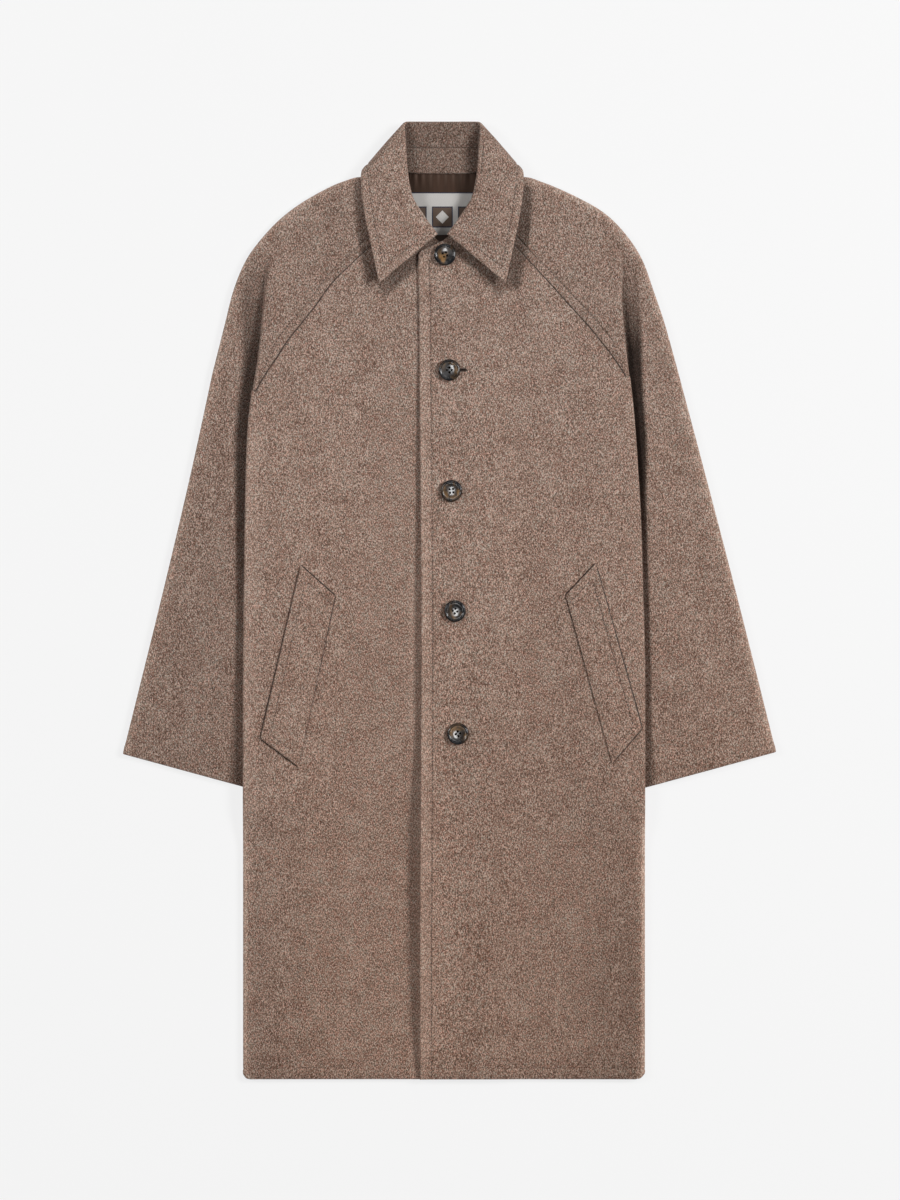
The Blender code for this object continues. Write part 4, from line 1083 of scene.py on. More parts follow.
def flat_tone(side, across, y, inside, on_edge):
    """Tone of the flat part of a front, at a distance inside its front edge.

    Painted shade eased in down the coat and beside the collar's leaf. A painted highlight eased in at the
    left front's edge, and painted light on the right front, in the shade beside that edge.
    """
    tone = -LOW_TONE[side] * eased(y, LOW_TONE_Y) * eased(inside, LOW_TONE_INSIDE)
    tone = tone - leaf_shade(side, across, y)
    if side == "left":
        return tone + EDGE_HIGHLIGHT * ease(1.0 - inside / EDGE_HIGHLIGHT_BREADTH) * on_edge
    first, last = UNDER_LIGHT_ACROSS
    first_fade, last_fade = UNDER_LIGHT_FADE
    painted_light = ease((across - first) / first_fade) * ease((last - across) / last_fade)
    return tone + UNDER_LIGHT * painted_light * eased(y, UNDER_LIGHT_Y)


def front(side):
    """A front: grid, mask, relief, tone and the column of the topstitching.

    Sections fan out from the neck and the front edge to the raglan seam. Below the crossing they run level
    to the side fold, round it by a squared half turn, and back inwards as a strip that sinks to the floor.
    """
    outer_a, outer_y = sections(side, SEAM_ROWS)[:2]
    inner = FRONT_INNER[side]
    at = SEAM_ROWS / SEAM_ROWS[-1] * (len(inner) - 1.0)
    inner_a = curve(np.arange(len(inner)), column(inner, 0), at)
    inner_y = curve(np.arange(len(inner)), column(inner, 1), at)
    reach = np.hypot(outer_a - inner_a, outer_y - inner_y)
    keep = 1.0 - RAGLAN_CLEAR / reach
    outer_a = inner_a + (outer_a - inner_a) * keep
    outer_y = inner_y + (outer_y - inner_y) * keep

    top_a, top_y = fold_start(SHOULDER[side][-1])
    fold_y = top_y - CROSSING_GAP + (HEM_Y - top_y + CROSSING_GAP) * BODY_ROWS
    fold_a = fold_across(side, fold_y)
    fold_a[0] = top_a
    slant = TURN_SLANT * section_slant(SHOULDER[side][-1])
    slant = slant * ease((fold_y - top_y + TURN_SLANT_LENGTH) / TURN_SLANT_LENGTH)
    dir_a = 1.0 / np.hypot(1.0, slant)
    dir_y = slant * dir_a
    rounded_in = hem_corner(side, fold_y - HEM_Y)
    raised = hem_rise(side, fold_y - HEM_Y)[:, None]
    bend_a = fold_a - rounded_in - dir_a * (TURN_RADIUS + CLOTH / 2)
    bend_y = fold_y - dir_y * (TURN_RADIUS + CLOTH / 2)
    edge_top = inner[-1][1] - ROW_STEP
    edge_y = edge_top + (HEM_Y - edge_top) * BODY_ROWS
    if side == "left":
        edge_a = curve(column(FRONT_EDGE, 0), column(FRONT_EDGE, 1), edge_y)
    else:
        edge_a = np.full(len(BODY_ROWS), UNDER_EDGE)

    start_a = np.concatenate((inner_a, edge_a))
    start_y = np.concatenate((inner_y, edge_y))
    end_a = np.concatenate((outer_a, bend_a))
    end_y = np.concatenate((outer_y, bend_y))
    length = np.hypot(end_a - start_a, end_y - start_y)
    near = edge_steps(FRONT_STITCH)
    q = spread(length, near, 44, RIM)
    flat_a = start_a[:, None] + ((end_a - start_a) / length)[:, None] * q
    flat_y = start_y[:, None] + ((end_y - start_y) / length)[:, None] * q
    angle = math.pi * shares(20)[1:]
    level = front_height(side, bend_a, bend_y)
    rounded = np.sign(np.cos(angle)) * np.abs(np.cos(angle)) ** TURN_SQUARE
    turn_z = level[:, None] - TURN_RADIUS * (1.0 - rounded)
    strip = SIDE_TURN * np.concatenate((shares(12)[1:-1], 1.0 - RIM[::-1] / SIDE_TURN))
    sink = 1.0 - ease((strip - TURN_LEVEL) / (SIDE_TURN - TURN_LEVEL))
    strip_z = CLOTH / 2 + (level - 2.0 * TURN_RADIUS - CLOTH / 2)[:, None] * sink
    under_q = np.concatenate((TURN_RADIUS * np.abs(np.sin(angle)) ** TURN_SQUARE, -strip))
    given_back = np.concatenate((np.zeros(angle.size), strip / SIDE_TURN))
    under_a = bend_a[:, None] + dir_a[:, None] * under_q + rounded_in[:, None] * given_back
    under_y = bend_y[:, None] + dir_y[:, None] * under_q + raised * np.clip(under_q / TURN_RADIUS, 0.0, 1.0)

    seam_rows = len(SEAM_ROWS)
    count = q.shape[1]
    grid = np.zeros((len(length), count + under_q.size, 3))
    grid[:, :count] = place(side, flat_a, flat_y, front_height(side, flat_a, flat_y))
    grid[seam_rows:, count:] = place(side, under_a, under_y, np.concatenate((turn_z, strip_z), axis=1))
    present = np.ones(grid.shape[:2], dtype=bool)
    present[:seam_rows, count:] = False
    relief = np.zeros(grid.shape[:2])
    on_edge = ease((FRONT_INNER["left"][3][1] - start_y) / EDGE_FADE)[:, None]
    if side == "left":
        relief[:, :count] = groove(q, FRONT_STITCH) * on_edge
    to_hem = BODY_LENGTH * (1.0 - BODY_ROWS)[:, None]
    relief[seam_rows:] += groove(to_hem, HEM_STITCH, HEM_GROOVE)
    to_side = np.zeros((len(BODY_ROWS), grid.shape[1]))
    to_side[:, :count] = (length[:, None] - q)[seam_rows:] + TURN_RADIUS
    # Tone of the front: painted light and shade, and a darker hem
    tone = np.zeros(grid.shape[:2])
    tone[seam_rows:] = low_tone(side, to_side, to_hem, fold_y[:, None])
    tone[:, :count] += flat_tone(side, flat_a, flat_y, q, on_edge)
    return grid, present, relief, tone, list(near).index(FRONT_STITCH)


fronts = {}
for side in SIDES:
    grid, present, relief, tone, stitched = front(side)
    fronts[side], top, normal = sheet_mesh(
        "front_%s_cloth" % side, grid, wool, present=present, relief=relief, facing=(100, 20), tone=tone)
    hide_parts("front_%s" % side)
    if side == "left":
        from_row = int(np.argmax(top[:, 0, 1] < FRONT_INNER["left"][3][1]))
        stitch_lines.append((top[from_row:, stitched], normal[from_row:, stitched]))

# Pocket welts.
# A slanting welt of doubled wool on each front, sewn down at both ends, its free long edge towards the side.
# Topstitching runs along the free edge and both ends.
WELT_THICK = 0.0025
# Corners across, y: upper inner, upper outer, lower outer, lower inner
WELT = {
    "right": ((0.1244, 0.0052), (0.1640, 0.0405), (0.2100, -0.1581), (0.1666, -0.1909)),
    "left": ((0.1403, 0.0063), (0.1746, 0.0425), (0.2275, -0.1466), (0.1938, -0.1863)),
}
WELT_LIFT = GAP + 0.0002
WELT_BREADTH = 0.046      # square to the long edges
WELT_RUN = 0.172          # between the ends, square to them
WELT_STITCH = 0.0095
WELT_GROOVE = 0.0005
STITCH_FADE = 0.002       # a line of stitching ends within this where it meets another
WELT_THIN = 0.0013        # the welt thins to the edge that is sewn down
WELT_THIN_BREADTH = 0.007


def welt(side):
    """A welt: grid and relief. Straight lines between its corners, at the front's height moved out."""
    upper_in, upper_out, lower_out, lower_in = [np.array(corner) for corner in WELT[side]]
    near = edge_steps(WELT_STITCH)
    middle = np.linspace(near[-1], WELT_RUN - near[-1], 40)[1:-1]
    run = np.concatenate((near, middle, WELT_RUN - near[::-1]))
    middle = np.linspace(RIM[-1], WELT_BREADTH - near[-1], 14)[1:-1]
    breadth = np.concatenate((RIM, middle, WELT_BREADTH - near[::-1]))
    down = (run / WELT_RUN)[:, None, None]
    out = (breadth / WELT_BREADTH)[None, :, None]
    inner = upper_in + (lower_in - upper_in) * down
    outer = upper_out + (lower_out - upper_out) * down
    plan = inner + (outer - inner) * out
    above = CLOTH / 2 + WELT_LIFT + WELT_THICK / 2
    height = front_height(side, plan[..., 0], plan[..., 1]) + above
    to_free = (WELT_BREADTH - breadth)[None, :]
    to_end = np.minimum(run, WELT_RUN - run)[:, None]
    inside_ends = ease((to_end - WELT_STITCH) / STITCH_FADE)
    inside_free = ease((to_free - WELT_STITCH) / STITCH_FADE)
    relief = groove(to_free, WELT_STITCH, WELT_GROOVE) * inside_ends
    relief = relief + groove(to_end, WELT_STITCH, WELT_GROOVE) * inside_free
    relief = relief - WELT_THIN * ease(1.0 - breadth / WELT_THIN_BREADTH)[None, :]
    stitched = list(near).index(WELT_STITCH)
    return place(side, plan[..., 0], plan[..., 1], height), relief, stitched


for side in SIDES:
    grid, relief, stitched = welt(side)
    piece, top, normal = sheet_mesh("welt_%s_cloth" % side, grid, wool, thickness=WELT_THICK, relief=relief)
    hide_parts("welt_%s" % side)
    rows = slice(stitched, grid.shape[0] - stitched)
    columns = slice(2, grid.shape[1] - stitched)
    stitch_lines.append((top[rows, -1 - stitched], normal[rows, -1 - stitched]))
    stitch_lines.append((top[stitched, columns], normal[stitched, columns]))
    stitch_lines.append((top[-1 - stitched, columns], normal[-1 - stitched, columns]))

# Collar.
# A turn-down collar in two pieces: a stand sewn to the neck, and a fall on it that rolls over and down.
# Its leaf is doubled wool with pointed front ends, topstitched all round inside the edge.
COLLAR_GAP = 0.0004       # between fall and stand
# Station from the front end to the middle of the back;
# fold, edge of the leaf, edge of the inner strip and neck seam, each across, y, z; bow
COLLAR = (
    (0.00, (0.0065, 0.4185, 0.0250), (0.0725, 0.3636, 0.0272),
     (0.0078, 0.4176, 0.0200), (0.0090, 0.4168, 0.0179), 0.003),
    (0.15, (0.0225, 0.4408, 0.0250), (0.0808, 0.4022, 0.0256),
     (0.0239, 0.4400, 0.0190), (0.0251, 0.4393, 0.0160), 0.004),
    (0.32, (0.0365, 0.4650, 0.0250), (0.0884, 0.4387, 0.0224),
     (0.0381, 0.4647, 0.0190), (0.0395, 0.4645, 0.0158), 0.005),
    (0.50, (0.0416, 0.4950, 0.0240), (0.0930, 0.4721, 0.0194),
     (0.0432, 0.4949, 0.0182), (0.0446, 0.4948, 0.0154), 0.009),
    (0.66, (0.0440, 0.5265, 0.0220), (0.0932, 0.4845, 0.0176),
     (0.0428, 0.5185, 0.0110), (0.0432, 0.4960, 0.0116), 0.011),
    (0.76, (0.0450, 0.5415, 0.0165), (0.0914, 0.4930, 0.0078),
     (0.0402, 0.5190, 0.0080), (0.0400, 0.4920, 0.0106), 0.007),
    (0.84, (0.0405, 0.5482, 0.0118), (0.0865, 0.4850, 0.0015),
     (0.0355, 0.5197, 0.0068), (0.0345, 0.4905, 0.0102), 0.003),
    (0.92, (0.0260, 0.5485, 0.0092), (0.0650, 0.4700, 0.0015),
     (0.0220, 0.5198, 0.0063), (0.0210, 0.4900, 0.0100), 0.000),
    (1.00, (0.0000, 0.5485, 0.0080), (0.0000, 0.4640, 0.0015),
     (0.0000, 0.5198, 0.0062), (0.0000, 0.4899, 0.0100), 0.000),
)
ROLL = 0.0022             # radius of the collar's roll
ROLL_PULL = 1.17          # of the two arches that round the roll
ROLL_INSIDE = 4           # columns of the roll that belong to the inside of the collar
LEAF_LAND = 0.3           # of its bow, how far the leaf still bends where it lands
LEAF_STITCH = 0.0100
LEAF_GROOVE = 0.6 * GROOVE
LEAF_INSIDE = 0.055       # the leaf's stitching and painted highlight go this far in from its edge
LEAF_INSIDE_FADE = 0.008
LEAF_ROWS = 66            # rows and columns that the stitching runs along at each end
LEAF_COLUMNS = 34
LEAF_EDGE_LIGHT = 0.5           # painted highlight along its edges
LEAF_EDGE_LIGHT_BREADTH = 0.008
LEAF_SIDE_SHADE = (-0.03, -0.28)   # painted shade of the right and the left leaf
INSIDE_SHADE = (-1.18, -1.9)   # painted shade inside the collar, at the middle and at both sides
ROLL_SHADE = (0.026, 0.043)   # between these distances from the centre line
STATION_LENGTH = 0.215    # of the leaf's front edge for each unit of station


def unit(vectors):
    """Vectors of length one."""
    return vectors / np.linalg.norm(vectors, axis=-1, keepdims=True)


def arch(start, end, start_dir, end_dir, share, pull=1.0):
    """Cubic from start to end that leaves and arrives in given directions, pulled by its chord's length."""
    chord = pull * np.linalg.norm(end - start, axis=-1, keepdims=True)[:, None]
    t = np.atleast_2d(share)[..., None]
    s = 1.0 - t
    ends = start[:, None] * (1.0 + 2.0 * t) * s * s + end[:, None] * t * t * (3.0 - 2.0 * t)
    return ends + chord * (start_dir[:, None] * t * s * s - end_dir[:, None] * t * t * s)


def collar_lines(at):
    """Fold, leaf edge, strip edge, neck seam and bow round the neck: curves through table and mirror."""
    knots = column(COLLAR, 0)
    whole = np.concatenate((knots, 2.0 - knots[-2::-1]))
    lines = []
    for index in range(1, 5):
        half = np.array([row[index] for row in COLLAR])
        full = np.concatenate((half, half[-2::-1] * np.array((-1.0, 1.0, 1.0))))
        points = np.stack([curve(whole, full[:, axis], at) for axis in range(3)], axis=-1)
        points[:, 0] = COLLAR_CENTRE - points[:, 0]
        lines.append(points)
    bow = column(COLLAR, 5)
    lines.append(curve(whole, np.concatenate((bow, bow[-2::-1])), at))
    return lines


def inside_shade(points):
    """Painted shade inside the collar, eased darker towards the roll at both sides."""
    beside = eased(np.abs(points[..., 0] - COLLAR_CENTRE), ROLL_SHADE)
    return INSIDE_SHADE[0] + (INSIDE_SHADE[1] - INSIDE_SHADE[0]) * beside


def collar():
    """Grids of the fall and the stand, relief and tone of the fall, and its stitched column.

    From the neck seam the stand rises to the strip's edge. From there the fall climbs to the roll, goes over
    it in two cubic arches, and runs down as the leaf in a bowed one.
    """
    near = edge_steps(LEAF_STITCH)
    end_rows = near / STATION_LENGTH
    middle = np.linspace(end_rows[-1], 2.0 - end_rows[-1], 150)[1:-1]
    at = np.concatenate((end_rows, middle, 2.0 - end_rows[::-1]))
    fold, edge, strip, seam, bow = collar_lines(at)
    ahead = unit(np.gradient(fold, at, axis=0))
    crest = unit(unit(fold - strip) + unit(fold - edge))
    inside = unit(np.cross(ahead, crest))
    inside = inside * np.sign(np.sum(inside * (strip - edge), axis=1, keepdims=True))
    roll_in = fold - crest * ROLL + inside * ROLL
    roll_out = fold - crest * ROLL - inside * ROLL
    rise = unit(strip - seam)
    climb = unit(roll_in - strip)
    joint = unit(rise + climb)
    fall = unit(edge - roll_out)
    outward = unit(-inside + fall * np.sum(inside * fall, axis=1, keepdims=True))
    length = np.linalg.norm(edge - roll_out, axis=1, keepdims=True)
    leave = unit(fall + outward * bow[:, None] / length)
    land = unit(fall - outward * LEAF_LAND * bow[:, None] / length)

    half_gap = 0.5 * COLLAR_GAP
    rims = np.concatenate(((0.0, 0.004, 0.015, 0.05), np.linspace(0.1, 0.9, 9), (0.95, 0.985, 0.996, 1.0)))
    stand_grid = arch(seam, strip - joint * half_gap, rise, joint, rims)
    leaf = 1.0 - spread(length[:, 0], near, 26, RIM[:2])[:, ::-1] / length
    parts = (
        arch(strip + joint * half_gap, roll_in, joint, climb, rims[:-3]),
        arch(roll_in, fold, climb, -inside, shares(8)[1:], ROLL_PULL),
        arch(fold, roll_out, -inside, leave, shares(8)[1:], ROLL_PULL),
        arch(roll_out, edge, leave, land, leaf[:, 1:]),
    )
    fall_grid = np.concatenate(parts, axis=1)
    to_edge = np.full(fall_grid.shape[:2], 1.0)
    to_edge[:, -leaf.shape[1] + 1:] = (1.0 - leaf[:, 1:]) * length
    to_end = np.minimum(at, 2.0 - at)[:, None] * STATION_LENGTH * np.ones_like(to_edge)
    on_leaf = ease((LEAF_INSIDE - to_edge) / LEAF_INSIDE_FADE)
    along_edge = groove(to_edge, LEAF_STITCH, LEAF_GROOVE) * ease((to_end - LEAF_STITCH) / STITCH_FADE)
    along_end = groove(to_end, LEAF_STITCH, LEAF_GROOVE) * ease((to_edge - LEAF_STITCH) / STITCH_FADE)
    relief = (along_edge + along_end) * on_leaf
    # Painted highlight along the leaf's edges, painted shade on each leaf and inside the collar
    tone = LEAF_EDGE_LIGHT * ease(1.0 - np.minimum(to_edge, to_end) / LEAF_EDGE_LIGHT_BREADTH) * on_leaf
    tone = tone + np.where(fall_grid[..., 0] < COLLAR_CENTRE, *LEAF_SIDE_SHADE)
    inner = parts[0].shape[1] + ROLL_INSIDE
    tone[:, :inner] = inside_shade(fall_grid[:, :inner])
    return fall_grid, stand_grid, relief, tone, list(near).index(LEAF_STITCH)


fall_grid, stand_grid, relief, tone, stitched = collar()
collar_fall, top, normal = sheet_mesh(
    "collar_fall_cloth", fall_grid, wool, relief=relief, facing=(30, -12), tone=tone)
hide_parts("collar_fall")
collar_stand, _, _ = sheet_mesh(
    "collar_stand_cloth", stand_grid, wool, facing=(80, 8), tone=inside_shade(stand_grid))
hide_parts("collar_stand")
edge_column = -1 - stitched
leaf_columns = slice(fall_grid.shape[1] - LEAF_COLUMNS, fall_grid.shape[1] - stitched)
for rows in (slice(stitched, LEAF_ROWS), slice(-LEAF_ROWS, -stitched)):
    stitch_lines.append((top[rows, edge_column], normal[rows, edge_column]))
for row in (stitched, -1 - stitched):
    stitch_lines.append((top[row, leaf_columns], normal[row, leaf_columns]))

# Topstitching and seams.
# Brown thread, sewn in short stitches along the raglan seams, the front edge, the welts and the collar.
# Each stitch lies in its groove and dips into the wool at both ends; raglan and welt seams are thin lines.
STITCH_PITCH = 0.0042
STITCH_LENGTH = 0.0031
STITCH_RADIUS = 0.00040
STITCH_RISE = 0.6 * STITCH_RADIUS   # of its middle above the groove
STITCH_DIP = 0.0004       # of its ends below that
TAPER = 0.35              # share of its radius that a stitch or a seam keeps at its ends
# Radii of the seams at the upper end, free edge, lower end and inner edge of a welt
SEAM_RADII = {"right": (0.00064, 0.00085, 0.00036, 0.00055), "left": (0.00055, 0.00125, 0.00036, 0.00042)}
SEAM_OUT = 0.0005         # a welt's seams lie this far outside its edges
SEAM_LIFT = 0.0002        # and their middles this far above the front
SEAM_END = 0.05           # share of an edge within which its seam gets thin
SEAM_WAVES = ((5.0, 0.3), (11.0, 2.1), (23.0, 4.4))   # waves along an edge and their phase, for uneven seams
SEAM_UNEVEN = 0.14
RAGLAN_FROM = 0.6         # section at which the raglan seam comes out from under the collar
RAGLAN_WAVE = 6.0         # sections over which the waves repeat
RAGLAN_UNEVEN = 0.16
RAGLAN_RADIUS = 0.00055
RAGLAN_SINK = 0.0003      # its middle lies this far below the face of the cloth
THREAD_FINISH = {"Roughness": 0.7}
THREAD_BROWN = (0.060, 0.038, 0.028, 1.0)
THREAD_DARK = (0.036, 0.0228, 0.0168, 1.0)
TWIST_FINENESS = 3000.0   # in waves a metre


def thread_material():
    """Sewing thread: brown, with fine noise for its twist."""
    made, tree, shader, at = new_material("sewing_thread", THREAD_FINISH)
    twist = noise(tree, at, TWIST_FINENESS, 1.0)
    tree.links.new(ramp(tree, twist, ((0.3, THREAD_DARK), (0.7, THREAD_BROWN))), shader.inputs["Base Color"])
    return made


def upward(path):
    """The upward direction at each point of a path."""
    return np.broadcast_to(np.array((0.0, 0.0, 1.0)), path.shape)


def tube_rings(path, out, radius, sides=6):
    """Rings round each path: sideways and outward direction times the cosine and sine of an angle."""
    ahead = unit(np.gradient(path, axis=-2))
    beside = unit(np.cross(out, ahead))
    angle = np.arange(sides) * 2.0 * math.pi / sides
    ring = beside[..., None, :] * np.cos(angle)[:, None] + out[..., None, :] * np.sin(angle)[:, None]
    return path[..., None, :] + ring * np.asarray(radius)[..., None, None]


def stitch_points(line, normal, rings=5):
    """Stitches along a line: tubes with tapered ends, an array of stitch, ring and side.

    The line is measured by its length. Each tube runs along a piece of it, its middle above the line and its
    ends below that by a square, and its radius falls by a root of the same square.
    """
    step = np.linalg.norm(np.diff(line, axis=0), axis=1)
    run = np.concatenate(((0.0,), np.cumsum(step)))
    count = int((run[-1] - STITCH_LENGTH) / STITCH_PITCH)
    share = shares(rings)
    place_at = (np.arange(count) * STITCH_PITCH)[:, None] + 0.5 * STITCH_PITCH + share * STITCH_LENGTH
    middle = np.stack([np.interp(place_at, run, line[:, axis]) for axis in range(3)], axis=-1)
    out = unit(np.stack([np.interp(place_at, run, normal[:, axis]) for axis in range(3)], axis=-1))
    bow = 1.0 - np.abs(2.0 * share - 1.0) ** 2
    middle = middle + out * (STITCH_RISE - STITCH_DIP * (1.0 - bow))[None, :, None]
    radius = np.broadcast_to(STITCH_RADIUS * (TAPER + (1.0 - TAPER) * np.sqrt(bow)), (count, rings))
    return tube_rings(middle, out, radius)


def tube_faces(count, rings, sides):
    """Quads round a number of tubes, and a face that closes each end."""
    number = np.arange(count * rings * sides).reshape(count, rings, sides)
    after = np.roll(number, -1, axis=2)
    quads = np.stack((number[:, :-1], number[:, 1:], after[:, 1:], after[:, :-1]), axis=-1).reshape(-1, 4)
    return quads.tolist() + number[:, 0].tolist() + number[:, -1, ::-1].tolist()


def add_tubes(name, tubes, finish):
    """One mesh of many tubes, from an array of tube, ring, side and coordinate."""
    return add_piece(name, tubes.reshape(-1, 3).tolist(), tube_faces(*tubes.shape[:3]), finish)


def uneven(share):
    """Sum of three waves along a seam."""
    return sum(np.sin(2.0 * math.pi * count * share + phase) for count, phase in SEAM_WAVES)


def welt_seams(side):
    """Seams round a welt: a tube outside each straight edge, uneven in thickness and thin at both ends."""
    corners = np.array(WELT[side])
    corners = corners + SEAM_OUT * np.sign(corners - corners.mean(axis=0))
    after = np.roll(corners, -1, axis=0)
    share = shares(90)
    plan = corners[:, None] + (after - corners)[:, None] * share[None, :, None]
    height = front_height(side, plan[..., 0], plan[..., 1]) + CLOTH / 2 + SEAM_LIFT
    path = place(side, plan[..., 0], plan[..., 1], height)
    ends = TAPER + (1.0 - TAPER) * ease(np.minimum(share, 1.0 - share) / SEAM_END)
    radius = np.array(SEAM_RADII[side])[:, None] * ends * (1.0 + SEAM_UNEVEN * uneven(share))
    return tube_rings(path, upward(path), radius)


def raglan_seam(side):
    """Seam between sleeve and front: a tube of uneven thickness on a curve through the shoulder table."""
    at = np.linspace(RAGLAN_FROM, len(SHOULDER[side]) - 1.0, 200)[None, :]
    seam_a, seam_y = sections(side, at)[:2]
    path = place(side, seam_a, seam_y, upper_height(side, seam_a, seam_y) + CLOTH / 2 - RAGLAN_SINK)
    return tube_rings(path, upward(path), RAGLAN_RADIUS * (1.0 + RAGLAN_UNEVEN * uneven(at / RAGLAN_WAVE)))


thread = thread_material()
add_tubes("raglan_seams", np.concatenate([raglan_seam(side) for side in SIDES]), thread)
stitches = [stitch_points(line, normal) for line, normal in stitch_lines]
add_tubes("topstitching", np.concatenate(stitches), thread)
add_tubes("welt_seams", np.concatenate([welt_seams(side) for side in SIDES]), thread)

# Buttonhole.
# Only the second one shows, as the end of a slit beside its button.
# It is cut through the left front and overcast all round with the same thread; the slit's shade is painted
# as a dark tube.
HOLE_Y = 0.2648
HOLE_X = (0.0095, 0.0185)
HOLE_PITCH = 0.0008
BAR = (0.0004, 0.0019)    # a stitch of the overcasting runs between these distances from the slit
BAR_RADIUS = 0.0004
BAR_RISE = 0.0003         # of its middle above the cloth
BAR_DIP = 0.0005          # of its ends below that
BAR_FAN = 8               # stitches round the end of the slit
SLIT_PAST = 0.0002        # the slit goes on this far past the overcasting
SLIT_RISE = 0.0001
SLIT_RADIUS = 0.0005
SLIT_FINISH = {"Base Color": (0.004, 0.003, 0.002, 1.0), "Roughness": 0.9, "Specular IOR Level": 0.0}


def overcast():
    """Bars of thread square to the slit on both sides and fanned round its end, bent down at their ends."""
    straight = np.arange(HOLE_X[0], HOLE_X[1], HOLE_PITCH)
    square = np.full(straight.size, 0.5 * math.pi)
    start_x = np.concatenate((straight, straight, np.full(BAR_FAN, HOLE_X[1])))
    turn = np.concatenate((square, -square, np.linspace(-0.5, 0.5, BAR_FAN) * math.pi))
    along = shares(5)
    out = (BAR[0] + (BAR[1] - BAR[0]) * along)[None, :]
    x = start_x[:, None] + out * np.cos(turn)[:, None]
    y = HOLE_Y + out * np.sin(turn)[:, None]
    lift = CLOTH / 2 + BAR_RISE - BAR_DIP * (2.0 * along - 1.0) ** 2
    path = place("left", x - CENTRE, y, front_height("left", x - CENTRE, y) + lift)
    return tube_rings(path, upward(path), np.full(path.shape[:2], BAR_RADIUS))


def slit():
    """Slit as painted shade: one straight nearly black tube along the middle of the buttonhole, a little
    above the cloth.
    """
    x = np.linspace(HOLE_X[0], HOLE_X[1] + SLIT_PAST, 9)[None, :]
    y = np.full(x.shape, HOLE_Y)
    path = place("left", x - CENTRE, y, front_height("left", x - CENTRE, y) + CLOTH / 2 + SLIT_RISE)
    return tube_rings(path, upward(path), np.full(path.shape[:2], SLIT_RADIUS))


add_tubes("buttonhole_2_thread", overcast(), thread)
slit_dark = new_material("slit_dark", SLIT_FINISH)[0]   # nearly black brown: painted shade for the slit and the button holes
add_tubes("buttonhole_2_slit", slit(), slit_dark)

# Buttons.
# Five turned buttons of polished dark horn with a raised rim, a sunk middle and four holes.
# Each is sewn on with thread deep in the holes, nearly black as painted shade, so that the holes look black.
BUTTON_AT = ((-0.0052, 0.3967), (0.0000, 0.2645), (0.0023, 0.1259), (0.0063, -0.0121), (0.0098, -0.1529))
BUTTON_TURN = (0.35, 0.80, 0.10, 0.62, 0.95)    # radians, how each lies turned
BUTTON_RADIUS = 0.0125
# Half section from the middle of the face round to the middle of the underside: radius, height
BUTTON_SECTION = (
    (0.0000, 0.0030),
    (0.0030, 0.003035),
    (0.0052, 0.00313),
    (0.0072, 0.00334),
    (0.0086, 0.0036),
    (0.0092, 0.0035),
    (0.0096, 0.0040),
    (0.0101, 0.0043),
    (0.0106, 0.0044),
    (0.0111, 0.0043),
    (0.0118, 0.0038),
    (0.0123, 0.0032),
    (0.0125, 0.0025),
    (0.0122, 0.0014),
    (0.0112, 0.0006),
    (0.0090, 0.0001),
    (0.0050, 0.0000),
    (0.0000, 0.0000),
)
# Slopes along x and y, as each leans on its thread
BUTTON_TILT = ((-0.005, -0.033), (-0.042, 0.00), (-0.002, 0.028), (-0.012, 0.033), (0.042, 0.008))
BUTTON_RAISE = 0.0008     # of the middle, so that the lower side of a tilted button clears the cloth
HOLE_RADIUS = 0.0014
HOLE_OUT = 0.0027         # holes lie this far from the middle
HOLES = 4
DRILL = (-0.005, 0.010)   # heights between which a hole is drilled
THREAD_TOP = 0.0019       # the thread fills a hole up to here,
THREAD_FILL = 0.9         # and to this share of its radius
EDGE_TURN = math.radians(50)   # edges that turn further than this stay sharp
HORN_FINISH = {"Roughness": 0.20, "Specular IOR Level": 0.5, "Coat Roughness": 0.10}
HORN_FINENESS = (80.0, 45.0, 60.0)   # of its clouds, in waves a metre, as the next one
HORN_LEAN = 0.7
GREY_FINENESS = 75.0
HORN_TINTS = (            # place on the ramp, colour of the horn
    (0.42, (0.010, 0.010, 0.011, 1.0)),
    (0.52, (0.050, 0.032, 0.020, 1.0)),
    (0.62, (0.260, 0.140, 0.052, 1.0)),
)
HORN_GREY = (0.070, 0.068, 0.068, 1.0)
HORN_GREY_SHARE = ((0.48, (0.0, 0.0, 0.0, 1.0)), (0.68, (0.8, 0.8, 0.8, 1.0)))   # place on the ramp, share
HORN_RIM = (0.008, 0.009, 0.011, 1.0)
RIM_SHARE = 0.8           # of that colour
RIM_FROM = 0.0086         # radius at which it starts
RIM_FADE = 0.0014


def horn_material():
    """Polished horn: stretched noise runs through dark and amber tints, other noise lays grey over them.

    The tone of the button, which is highest at its rim, turns it black there and takes the polish off.
    """
    made, tree, shader, at = new_material("horn", HORN_FINISH)
    cloud = noise(tree, stretched(tree, at, HORN_FINENESS, HORN_LEAN), 1.0, 3.0, Distortion=0.5)
    grey = ramp(tree, noise(tree, at, GREY_FINENESS, 2.0), HORN_GREY_SHARE)
    body = blend(tree, grey, ramp(tree, cloud, HORN_TINTS), HORN_GREY)
    rim = point_tone(tree)
    tree.links.new(blend(tree, rim, body, HORN_RIM), shader.inputs["Base Color"])
    tree.links.new(maths(tree, 1.0, rim, "SUBTRACT"), shader.inputs["Coat Weight"])
    return made


